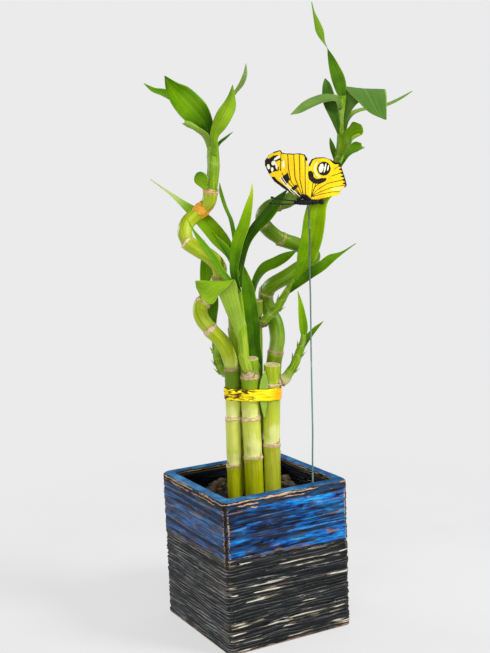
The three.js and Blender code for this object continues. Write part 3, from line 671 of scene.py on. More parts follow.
def foil_material():
    """Bright gold with long brown painted reflections on the left, painted sheen bands, and an orange
    cast on the right.
    """
    s = Shader("gold_foil", Metallic=0.2, Specular_IOR_Level=0.2)
    crease, span, run, rise = s.tag("crease"), s.tag("span"), s.tag("run"), s.tag("rise")
    round_it = s.node("ShaderNodeCombineXYZ", {"X": s.times(run, 24), "Y": s.times(rise, 5)})
    streaks = s.noise(round_it, 1, 4, 0.6)
    sheen = s.grain(round_it, (0.5, 1.6, 1), 2)
    # The gold ramp follows the sheen noise and the creases: painted sheen bands.
    gold = s.colours(s.plus(sheen, s.times(crease, 0.12)), [
        (0.3, "d8ac00"), (0.43, "f6d800"), (0.55, "ffee00"), (0.8, "fff650"),
    ])
    gold = s.mix(s.ramp(span, 0.72, 0.95, 0, 0.8), gold, "f2a400")
    # The brown streaks on the left are painted reflections.
    brown = s.times(s.ramp(span, 0.55, 0.4), s.ramp(streaks, 0.5, 0.53))
    painted_reflection = s.colours(streaks, [(0.5, "b87400"), (0.55, "5c3000"), (0.62, "2a1200")])
    gold = s.mix(s.times(brown, 0.95), gold, painted_reflection)
    normal = s.bump(streaks, 0.0003, 0.4)
    return s.paint(gold, normal, Roughness=s.ramp(sheen, 0.35, 0.65, 0.2, 0.34))


def wing_material():
    s = Shader("printed_wing", Specular_IOR_Level=0.1, Roughness=0.5)
    place = s.place()
    threads = s.noise(s.stretch(place, (3, 3, 1)), 700, 3)
    yellow = s.mix(s.ramp(s.tag("orange"), 0.2, 0.9), "f6d40c", "eebc04")
    yellow = s.mix(s.ramp(threads, 0.4, 0.7, 0, 0.3), yellow, "ffdf3a")
    colour = s.mix(s.ramp(s.tag("pale"), 0.15, 0.7), yellow, "f3efd6")
    ink = s.mix(s.ramp(threads, 0.35, 0.65), "0f0d0d", "2d2725")
    colour = s.mix(s.ramp(s.tag("dark"), 0.2, 0.7), colour, ink)
    normal = s.bump(threads, 0.0002, 0.5)
    return s.paint(colour, normal)


def body_material():
    s = Shader("fuzzy_black", Specular_IOR_Level=0.2, Sheen_Weight=0.08, Roughness=0.6)
    fluff = s.noise(s.place(), 1500, 4)
    colour = s.colours(s.plus(fluff, s.times(s.tag("fuzz"), 0.1)), [
        (0.35, "020304"), (0.6, "080b0f"), (0.8, "20262d"),
    ])
    return s.paint(colour, s.bump(fluff, 0.0004, 0.9))


def wire_material():
    """Green paint, scuffed, turning dark brown-grey near the top."""
    s = Shader("painted_wire", Specular_IOR_Level=0.5, Roughness=0.42)
    place = s.place()
    height = s.node("ShaderNodeSeparateXYZ", {0: place}, output=2)
    scuffs = s.noise(s.stretch(place, (1, 1, 0.25)), 500, 4)
    level = s.plus(height, s.ramp(scuffs, 0.3, 0.7, -0.02, 0.02))
    paint = s.colours(level, [
        (0.1, "3a7a66"), (0.17, "578d7d"), (0.22, "5a7068"), (0.26, "4a463e"),
    ])
    paint = s.mix(s.ramp(scuffs, 0.58, 0.7, 0, 0.5), paint, "a9c4ba")
    return s.paint(paint, s.bump(scuffs, 0.0001, 0.6))


# ---- stems ----

class Stem:
    """A round stem along a path, with a radius for each length and angle."""

    def __init__(self, path, step):
        self.points = [Vector(point[:3]) for point in path]
        self.stations = even_stations(self.points, step)
        self.frames = carried_frames(self.points, [t for t, _ in self.stations])
        self.length = self.stations[-1][1]

    def length_at(self, t):
        for (t_low, low), (t_high, high) in zip(self.stations, self.stations[1:]):
            if t <= t_high:
                return low + (high - low) * (t - t_low) / (t_high - t_low)
        return self.length

    def t_at(self, length):
        place = min(max(length / self.length, 0), 1) * (len(self.stations) - 1)
        k = min(int(place), len(self.stations) - 2)
        low, high = self.stations[k][0], self.stations[k + 1][0]
        return low + (high - low) * (place - k)

    def at(self, length, angle, radius):
        place = min(max(length / self.length, 0), 1) * (len(self.frames) - 1)
        k = min(int(place), len(self.frames) - 2)
        (low, side, across, tangent), (high, side_b, across_b, _) = self.frames[k:k + 2]
        w = place - k
        beyond = length - min(max(length, 0), self.length)
        centre = low.lerp(high, w) + tangent * beyond
        way = side.lerp(side_b, w) * math.cos(angle) + across.lerp(across_b, w) * math.sin(angle)
        return centre + way * radius

    def front(self, length):
        """The angle at which the stem faces the plant's front."""
        place = round(min(max(length / self.length, 0), 1) * (len(self.frames) - 1))
        _, side, across, _ = self.frames[place]
        return math.atan2(-across.y, -side.y)


def stem_tags(tags, length, angle, radius, **others):
    """The tags that every stem's material reads, and others of its own."""
    x, y = radius * math.cos(angle), radius * math.sin(angle)
    note(tags, run=length, turn=angle, stem_x=x, stem_y=y, **others)


# ---- stalks ----

STALK_FOOT = 24
STALK_SIDES = 40
STALK_STEP = 1.0
NODE_SWELL = 0.42
NODE_LIP = 0.3
NODE_WAIST = 0.25
NODE_TILT = 0.7
FAR_FROM_NODES = 60
CUT_TOP = [(0.99, 0.15), (0.94, 0.3), (0.86, 0.22), (0.7, -0.05), (0.45, -0.2), (0.2, -0.12)]
CUT_SLOPE = 0.1
SAW_MARKS = 0.12
ROUND_TOP = [(0.93, 0.7), (0.8, 1.3), (0.6, 1.8), (0.35, 2.1), (0.12, 2.25)]

# The path runs from the foot to the top. A fourth number marks a node ring there.
STALKS = {
    "stalk_spiral_left": {
        "radii": (4.9, 4.6), "top": ROUND_TOP,
        "path": [
            (-11.5, -2, STALK_FOOT), (-11.5, -2, 105.5, 1), (-11, -2, 137.2, 1),
            (-10.5, -2, 148), (-10.8, -3.2, 170.3, 1), (-12, -5, 178), (-16, -8, 188),
            (-23, -9.5, 196.5, 1), (-28, -7, 203.5), (-29, -3.7, 209), (-27.6, -2.1, 212.2, 1),
            (-25.2, -0.4, 215), (-20, 0.5, 221), (-16, -1, 228.5, 1), (-16, -6, 236),
            (-21, -10, 242.5), (-28, -10, 247), (-34, -7.5, 251.5, 1), (-36.5, -4, 258),
            (-34.5, -1, 264), (-29.5, 0.5, 268.5), (-25, 0.5, 272, 1), (-20.5, -1, 277),
            (-19, -3, 284, 1),
        ],
    },
    "stalk_spiral_right": {
        "radii": (5.2, 4.3), "top": ROUND_TOP,
        "path": [
            (13, 10, STALK_FOOT), (14, 10, 110, 1), (15, 10, 140), (17, 10, 169),
            (18.5, 10, 177, 1), (20, 12, 186), (19, 15, 195.5), (15.5, 17.5, 203),
            (13.5, 17, 210.5), (14.5, 12, 217.5, 1), (19.5, 6, 222.5), (27.5, 3, 227),
            (35, 4, 231.5), (42, 7, 234.5), (45, 11, 238.5), (42, 15, 242.5), (35, 17, 246),
            (24.5, 15, 250.5, 1), (17, 11, 256.5), (13, 6, 262.5, 1), (13.5, 2, 267.5),
            (18, 0, 272), (23.5, -1, 273.5, 1), (29, -1, 275), (33.5, 0, 278), (38, 1, 281.5),
        ],
    },
    "stalk_middle": {
        "radii": (6.1, 5.9), "top": CUT_TOP,
        "path": [
            (1, -4, STALK_FOOT), (1, -4, 111, 1), (0.5, -4, 137, 1), (0.5, -4, 150),
            (1, -4, 164, 1), (1, -4, 175),
        ],
    },
    "stalk_right": {
        "radii": (5.5, 5.35), "top": CUT_TOP,
        "path": [
            (12.4, -1, STALK_FOOT), (13.3, -1, 118, 1), (14.3, -1, 146),
            (15, -1, 158.5, 1), (15.5, -1, 170),
        ],
    },
    "stalk_back": {
        "radii": (5.2, 5), "top": CUT_TOP,
        "path": [
            (1.5, 9, STALK_FOOT), (3, 9, 118, 1), (4.5, 9, 160, 1), (5.5, 9, 197, 1),
            (6.5, 9, 211),
        ],
    },
    "stalk_back_left": {
        "radii": (5.1, 4.9), "top": CUT_TOP,
        "path": [
            (-9.5, 8.5, STALK_FOOT), (-8.5, 8.5, 122, 1), (-7.5, 8.5, 160, 1),
            (-7, 8.5, 194, 1), (-6.5, 8.5, 202.5),
        ],
    },
}


class Stalk(Stem):
    def __init__(self, radii, path, top, seed):
        super().__init__(path, STALK_STEP)
        self.radii = radii
        self.top = top
        self.seed = seed
        spans = len(path) - 1
        rings = [k for k, point in enumerate(path) if len(point) > 3]
        self.nodes = [self.length_at(k / spans) for k in rings]
        self.leans = [(1.0 if k % 2 else -1.0, 0.5 + 0.3 * (k % 3)) for k in range(len(rings))]

    def heights(self, length, angle):
        """The heights over every node ring, which stand a little askew."""
        heights = []
        for node, (way, lean) in zip(self.nodes, self.leans):
            wobble = 0.22 * math.sin(3 * angle + node) + 0.14 * math.sin(7 * angle - node)
            heights.append(length - node - lean * math.cos(angle - way) * NODE_TILT - wobble)
        return heights

    def near_and_over(self, length, angle):
        """How far off the nearest node ring is, and how far down the nearest one below is."""
        heights = self.heights(length, angle)
        below = [height for height in heights if height > 0]
        return min(abs(height) for height in heights), min(below, default=FAR_FROM_NODES)

    def radius(self, length, angle):
        t = self.t_at(length)
        radius = self.radii[0] + (self.radii[1] - self.radii[0]) * t
        for height in self.heights(length, angle):
            radius += NODE_SWELL * bump(height, 0.55) + NODE_LIP * bump(height + 1.4, 1.2)
            radius -= NODE_WAIST * bump(height - 3, 2.4)
        place = Vector((math.cos(angle), math.sin(angle), length * 0.09 + self.seed))
        radius += 0.16 * noise.noise(place * 1.3)
        return radius + 0.05 * noise.noise(place * 4 + Vector((0, 0, length * 0.5)))


# Tones by height: from -1, dark green, to 1, which is pale under the band and yellow over it.
PLAIN_TONES = [(100, 0), (152, 0), (155, 0.3)]
STALK_TONES = {
    "stalk_spiral_left": [(112, 0), (120, 1), (150, 1), (152, -1), (169, -1), (173, 0.9)],
    "stalk_spiral_right": [(150, 0), (200, -0.5), (300, -1)],
    "stalk_middle": [(114, 0), (122, 0.6), (150, 0.6), (153, -0.3), (165, -0.1), (185, 0.8)],
    "stalk_right": [(100, 0.3), (150, 0.2), (153, 1)],
}


def tone_at(levels, height):
    tone = levels[0][1]
    for (low, before), (high, after) in zip(levels, levels[1:]):
        tone += (after - before) * smooth_step(low, high, height)
    return tone


def add_stalk(name, stalk, material):
    sawn = stalk.top is CUT_TOP
    tones = STALK_TONES.get(name, PLAIN_TONES)
    points, tags = [], {}

    def add_ring(length, share, lift, cut):
        """A ring of points whose radius is a share of the stalk's, lifted at a sawn top."""
        for angle in angles(STALK_SIDES):
            radius = stalk.radius(length, angle) * share
            rise = lift
            if cut:
                flat = Vector((radius * math.cos(angle), radius * math.sin(angle), 3))
                rise += SAW_MARKS * noise.noise(flat)
                rise += CUT_SLOPE * (stalk.radii[1] + radius * math.sin(angle))
            points.append(stalk.at(length + rise, angle, radius))
            near, over = stalk.near_and_over(length, angle)
            stem_tags(
                tags, length, angle, radius, near=near, over=over, cut=float(cut), core=share,
                tone=tone_at(tones, points[-1][2]),
            )

    for _, length in stalk.stations:
        add_ring(length, 1.0, 0.0, False)
    top = [(1.0, 0.0), *stalk.top]
    for share, lift in top:
        add_ring(stalk.length, share, lift, sawn)
    faces = ring_faces(len(stalk.stations) + len(top), STALK_SIDES)
    add_piece(f"{name}_cane", points, faces, tags, material, "stalk", node=name)


HUSK_ROWS = 6
HUSK_THICKNESS = 0.1
HUSK_PARTS = 3
HUSK_OVERLAP = 0.42


def husk_collar(stalk, node, start, sweep, rise, drop, flare, hue, rng, mesh):
    """A torn papery collar that hugs the stalk over part of its girth."""
    points, faces, tags = mesh
    start += stalk.front(node) + math.pi / 2
    columns = max(6, round(sweep / 0.11))
    ragged = [rng.uniform(0.35, 1) for _ in range(columns + 1)]
    first = len(points)
    for face in (1, 0):
        for row in range(HUSK_ROWS + 1):
            w = row / HUSK_ROWS
            for column in range(columns + 1):
                u = column / columns
                angle = start + sweep * u
                taper = math.sin(math.pi * min(max(u, 0.04), 0.96)) ** 0.5
                way = Vector((math.cos(angle), math.sin(angle), node * 0.3)) * 1.6
                torn = min(max(0.75 + 1.1 * noise.noise(way), 0.1), 1.3)
                low = node - drop * taper * torn
                length = low + (node + rise * ragged[column] * taper * torn - low) * w
                lift = 0.04 + 0.7 * flare * w * w * ragged[column] + HUSK_THICKNESS * face
                radius = stalk.radius(length, angle) + lift
                points.append(stalk.at(length, angle, radius))
                stem_tags(tags, length, angle, radius, edge=w, hue=hue)
    faces.extend(shell_faces(first, HUSK_ROWS, columns))


def torn_husk(stem, length, start, sweep, rise, drop, flare, hue, rng, mesh, scatter=0):
    """Three collars that overlap, at about the given length."""
    for part in range(HUSK_PARTS):
        begin = start + sweep * part / HUSK_PARTS + rng.uniform(-0.12, 0.12)
        tall = rise * rng.uniform(0.55, 1.1)
        at = length + rng.uniform(-scatter, scatter) if scatter else length
        wide = sweep * HUSK_OVERLAP
        husk_collar(stem, at, begin, wide, tall, drop, flare, hue, rng, mesh)


# Husks: [node, start, sweep, rise, drop, flare, hue]. An angle of 4.71 faces the front. Hue
# runs from -1, brown, over 0, tan, and 0.5, pink, to 1, orange.
HUSKS = {
    "stalk_spiral_left": [
        (0, 3.2, 2.2, 2.6, 1, 0.5, 0), (0, 3.3, 1, 4.6, 1, 0.4, -0.2), (1, 3.6, 2.4, 2, 1.6, 0.4, 0),
        (2, 3.4, 2.6, 1, 0.6, 0.3, -0.6),
        (3, 3.4, 2.6, 2.2, 1.4, 0.6, -0.3), (4, 3.3, 3, 2.6, 1.6, 0.7, -0.2),
        (5, 2.6, 2.4, 3, 1.4, 0.9, -0.7), (6, 2.6, 2.6, 2, 1, 0.5, 0),
        (7, 3, 3.4, 5, 4.4, 0.6, 1), (8, 3.4, 2.8, 3.6, 2.8, 1.2, 0.5),
    ],
    "stalk_spiral_right": [
        (0, 3.3, 2.2, 1.8, 1, 0.4, 0), (1, 3.4, 2.4, 1.2, 0.6, 0.3, -0.6),
        (2, 2.9, 2.7, 1.8, 0.8, 0.5, -0.2), (3, 2.6, 2.6, 1, 0.6, 0.2, -0.9),
        (4, 3, 2.4, 1.2, 0.8, 0.3, -0.4), (5, 3.4, 2.4, 1, 0.6, 0.3, -0.8),
    ],
    "stalk_middle": [
        (0, 5.5, 0.6, 5.4, 1.4, 0.6, 0), (0, 3.5, 2.4, 1.4, 1, 0.3, -0.2),
        (1, 3.4, 1.6, 2.8, 2, 0.5, 0), (1, 4.6, 1.2, 3.4, 1.2, 0.8, 0.1),
        (2, 3.1, 3, 1.4, 1, 0.6, -0.4), (2, 4.1, 1.3, 4, 1.4, 1.6, -0.3),
    ],
    "stalk_right": [
        (0, 3.4, 2.5, 1.4, 1, 0.4, -0.2), (0, 4.9, 1.1, 4.2, 1.2, 0.6, 0),
        (0, 5.2, 0.8, 6, 0.4, 0.5, 0.4), (1, 3.6, 2.2, 1.6, 1.2, 0.4, 0),
        (1, 5.5, 1.4, 3.4, 1.6, 1.6, 0),
    ],
    "stalk_back": [
        (2, 4, 2.8, 3, 1.8, 0.9, -0.8), (2, 4.3, 1.8, 5, 0.5, 1.6, -1),
        (1, 0.6, 2, 2, 1.2, 0.4, 0),
    ],
    "stalk_back_left": [(2, 3.4, 2.4, 2, 1.2, 0.4, -0.5), (1, 1.4, 2, 2, 1.2, 0.4, 0)],
}


def add_husks(name, stalk, material):
    """The husks in the table, and a low collar round every node ring."""
    rng = random.Random(name)
    mesh = [], [], {}
    for node, *husk in HUSKS[name]:
        torn_husk(stalk, stalk.nodes[node], *husk, rng, mesh, scatter=0.3)
    for node in stalk.nodes:
        start, sweep, rise = rng.uniform(0, 1.5), rng.uniform(1.6, 2.6), rng.uniform(0.8, 1.8)
        husk_collar(stalk, node, start, sweep, rise, 0.8, 0.3, 0, rng, mesh)
    add_piece(f"{name}_husks", *mesh, material, "stalk")


# ---- shoots ----

SHOOT_SIDES = 32
SHOOT_STEP = 0.7
SHEATH_STEP = 0.2

# radii run with the path's points. sheaths are [end as a share of the length, facing angle].
SHOOTS = {
    "left_crown_shoot": {
        "radii": (3.8, 3.7, 3.8, 3.7, 2.9, 2.3), "tone": (0.5, 0.5),
        "path": [
            (-19, -3, 282), (-17.5, -3, 291), (-16.5, -3, 299.5), (-16.5, -3, 307.5),
            (-16, -3, 315), (-16, -3, 322.5),
        ],
        "sheaths": [(0.5, 2.8), (0.74, 5)],
    },
    "right_crown_shoot": {
        "radii": (3.4, 3.1, 3, 2.8, 3, 2.4, 1.7, 2.7, 3.6), "tone": (0.4, 0.42),
        "path": [
            (37, 1, 280.5), (47.5, 1, 287), (56, 0, 292.5), (61, 0, 297.5), (63.5, 0, 305.5),
            (64, 0, 315), (64.5, 0, 323.5), (64.5, 0, 331.5), (64.5, 0, 339),
        ],
        "sheaths": [(0.26, 1.2), (0.5, 2.2)],
    },
    "centre_shoot": {
        "radii": (3.2, 3.3, 3.5, 3.5, 3.4, 2.9, 2.1, 1.2, 0.6), "tone": (0.8, 0.5),
        "path": [
            (0.5, -7, 164.5), (-0.5, -12, 170.5), (-2, -14, 176.5), (-2.5, -14.5, 184.5),
            (-3, -14, 194.5), (-3.5, -13, 205.5), (-3.5, -12, 216), (-4, -11.5, 225),
            (-4, -11, 232.5),
        ],
        "sheaths": [(0.22, 4.2), (0.5, 5.6)],
    },
    "side_shoot_upper": {
        "radii": (2.6, 2.8, 2.8, 2.7, 2.4, 2, 1.4), "tone": (0.45, 0.5),
        "path": [
            (6, 7, 194.5), (9.5, 2, 197.5), (14, -1, 201.5), (19.5, -3, 207), (24, -4.5, 214),
            (28, -6, 220.5), (31.5, -7, 226),
        ],
        "sheaths": [(0.2, 4.4), (0.42, 1.6), (0.64, 4.9), (0.84, 2)],
    },
    "side_shoot_lower": {
        "radii": (2.6, 3.6, 2.9, 2.8, 2.7, 2.3, 1.7), "tone": (0.55, 0.5),
        "path": [
            (17, -1, 159.5), (22.5, -1.5, 160.5), (26, -2, 164.5), (29.5, -2, 169.5),
            (33, -2, 177.5), (36, -2.5, 185.5), (36.5, -3, 190),
        ],
        "sheaths": [(0.22, 4.7), (0.36, 1.4), (0.58, 3.9), (0.82, 5.4)], "root": 0.8,
    },
    "side_shoot_left": {
        "radii": (2.4, 2.7, 2.7, 2.5, 1.9, 1.4), "tone": (0.45, 0.5),
        "path": [
            (-12, -1, 165.5), (-16.5, 0, 167.5), (-19, 1, 173.5), (-20, 3, 179.5),
            (-21, 6, 187), (-21.5, 8, 194.5),
        ],
        "sheaths": [(0.2, 4.4), (0.45, 1.9), (0.72, 5)],
    },
}


# Husks at a shoot's root: [length, start, sweep, rise, drop, flare, hue].
SHOOT_HUSKS = {
    "centre_shoot": [(5, 1.6, 6.2, 2.4, 2.6, 0.4, -0.1), (6.5, 2.4, 4.4, 2, 1.6, 0.7, -0.3)],
    "side_shoot_lower": [(4.4, 1.6, 6.2, 1.8, 1.4, 0.4, 0.1), (4.2, 3.2, 2.6, 1.6, 0.6, 0.7, -0.9)],
    "side_shoot_upper": [(6.5, 1.6, 6.2, 3, 2.4, 0.8, -0.7), (8, 2.4, 4.6, 4, 1, 1.5, -1)],
    "side_shoot_left": [(3, 3, 3.4, 2, 1.5, 0.5, -0.3)],
}


class Shoot(Stem):
    def __init__(self, path, radii):
        super().__init__(path, SHOOT_STEP)
        self.radii = radii

    def radius(self, length, _angle):
        """The same all round, but it is asked for as a stalk's is."""
        return value_along(self.radii, self.t_at(length)) + SHEATH_STEP


def sheath_height(length, angle, end, way, reach):
    """How far above a sheath's slanting free edge a point is; the edge peaks at way."""
    slant = 0.5 + 0.5 * math.cos(angle - way)
    jag = 0.25 * noise.noise(Vector((math.cos(angle) * 3, math.sin(angle) * 3, end * 40)))
    return length - end - (slant ** 3 - 0.35) * reach - jag


SCALE_ROWS = 5
SCALE_LENGTH = 4.2


def add_scale(stem, length, side, mesh):
    """A small pointed scale whose tip stands off the shoot."""
    points, faces, tags = mesh
    first = len(points)
    for face in (1, 0):
        for row in range(SCALE_ROWS + 1):
            w = row / SCALE_ROWS
            for column in range(SCALE_ROWS + 1):
                u = 2 * column / SCALE_ROWS - 1
                angle = side + 0.75 * u * (1.02 - w) ** 0.7
                at = length + SCALE_LENGTH * w
                radius = stem.radius(at, angle) + 0.05 + 1.5 * w ** 1.6 + 0.35 * face * (1.1 - w)
                points.append(stem.at(at, angle, radius))
                stem_tags(tags, at, angle, radius, edge=0.8 * w * w, root=0, tone=0.45)
    faces.extend(shell_faces(first, SCALE_ROWS, SCALE_ROWS))


# Small pointed scales on the side shoots: [length, side].
SCALES = {
    "side_shoot_lower": [(14, 6.1), (21, 3.3), (25, 6.1), (30, 3.3)],
    "side_shoot_upper": [(16, 3.4), (22, 6.1), (27, 3.4)],
    "side_shoot_left": [(5, 3.4), (10, 3.3), (18, 3.4)],
}


def add_shoot(name, radii, tone, path, sheaths, material, husk_look, root=0):
    stem = Shoot(path, radii)
    ends = [(share * stem.length, way) for share, way in sheaths]
    points, tags = [], {}
    for t, length in stem.stations:
        for angle in angles(SHOOT_SIDES):
            radius = value_along(radii, t)
            edge = 0.0
            for end, way in ends:
                over = sheath_height(length, angle, end, way, radius * 1.6)
                radius += SHEATH_STEP * (t - smooth_step(-0.1, 0.5, over))
                radius += 0.1 * bump(over + 0.3, 0.5)
                edge = max(edge, bump(over + 0.35, 0.5))
            place = Vector((math.cos(angle), math.sin(angle), length * 0.2))
            radius *= 1 + 0.03 * noise.noise(place)
            points.append(stem.at(length, angle, radius))
            stem_tags(
                tags, length, angle, radius, edge=edge,
                root=root * (1 - smooth_step(6, 12, length)),
                tone=tone[0] + (tone[1] - tone[0]) * t,
            )
    faces = ring_faces(len(stem.stations), SHOOT_SIDES)
    add_piece(f"{name}_sheathed", points, faces, tags, material, "shoot", node=name)
    if name in SHOOT_HUSKS:
        rng = random.Random(name)
        mesh = [], [], {}
        for husk in SHOOT_HUSKS[name]:
            torn_husk(stem, *husk, rng, mesh)
        add_piece(f"{name}_husks", *mesh, husk_look, "shoot")
    if name in SCALES:
        mesh = [], [], {}
        for length, side in SCALES[name]:
            add_scale(stem, length, side + stem.front(length) + math.pi / 2, mesh)
        add_piece(f"{name}_scales", *mesh, material, "shoot")


# ---- leaves ----

LEAF_COLUMNS = 24
LEAF_STEP = 1.4
LEAF_MID_THICKNESS = 0.42
LEAF_LEAST_HALF = 0.12
FOLD_SOFTNESS = 0.03
ROLL_START = 0.55
ROLL_END = 0.85

# What a leaf's entry leaves out. tone is given from its base to its tip; its low values at leaf
# bases and on leaves in shade are painted shade. side makes the right half brighter, a painted
# light on one half of the fold. roll is the angle its tip curls round, and cup the same at its base.
PLAIN_LEAF = {
    "tone": (0.35, 0.6), "side": 0, "margin": 0, "pale": 0, "grey": 0, "tip_yellow": 0,
    "tip_pale": 0, "ripple": 0.35, "roll": 0, "cup": 2.2, "under": 1,
}
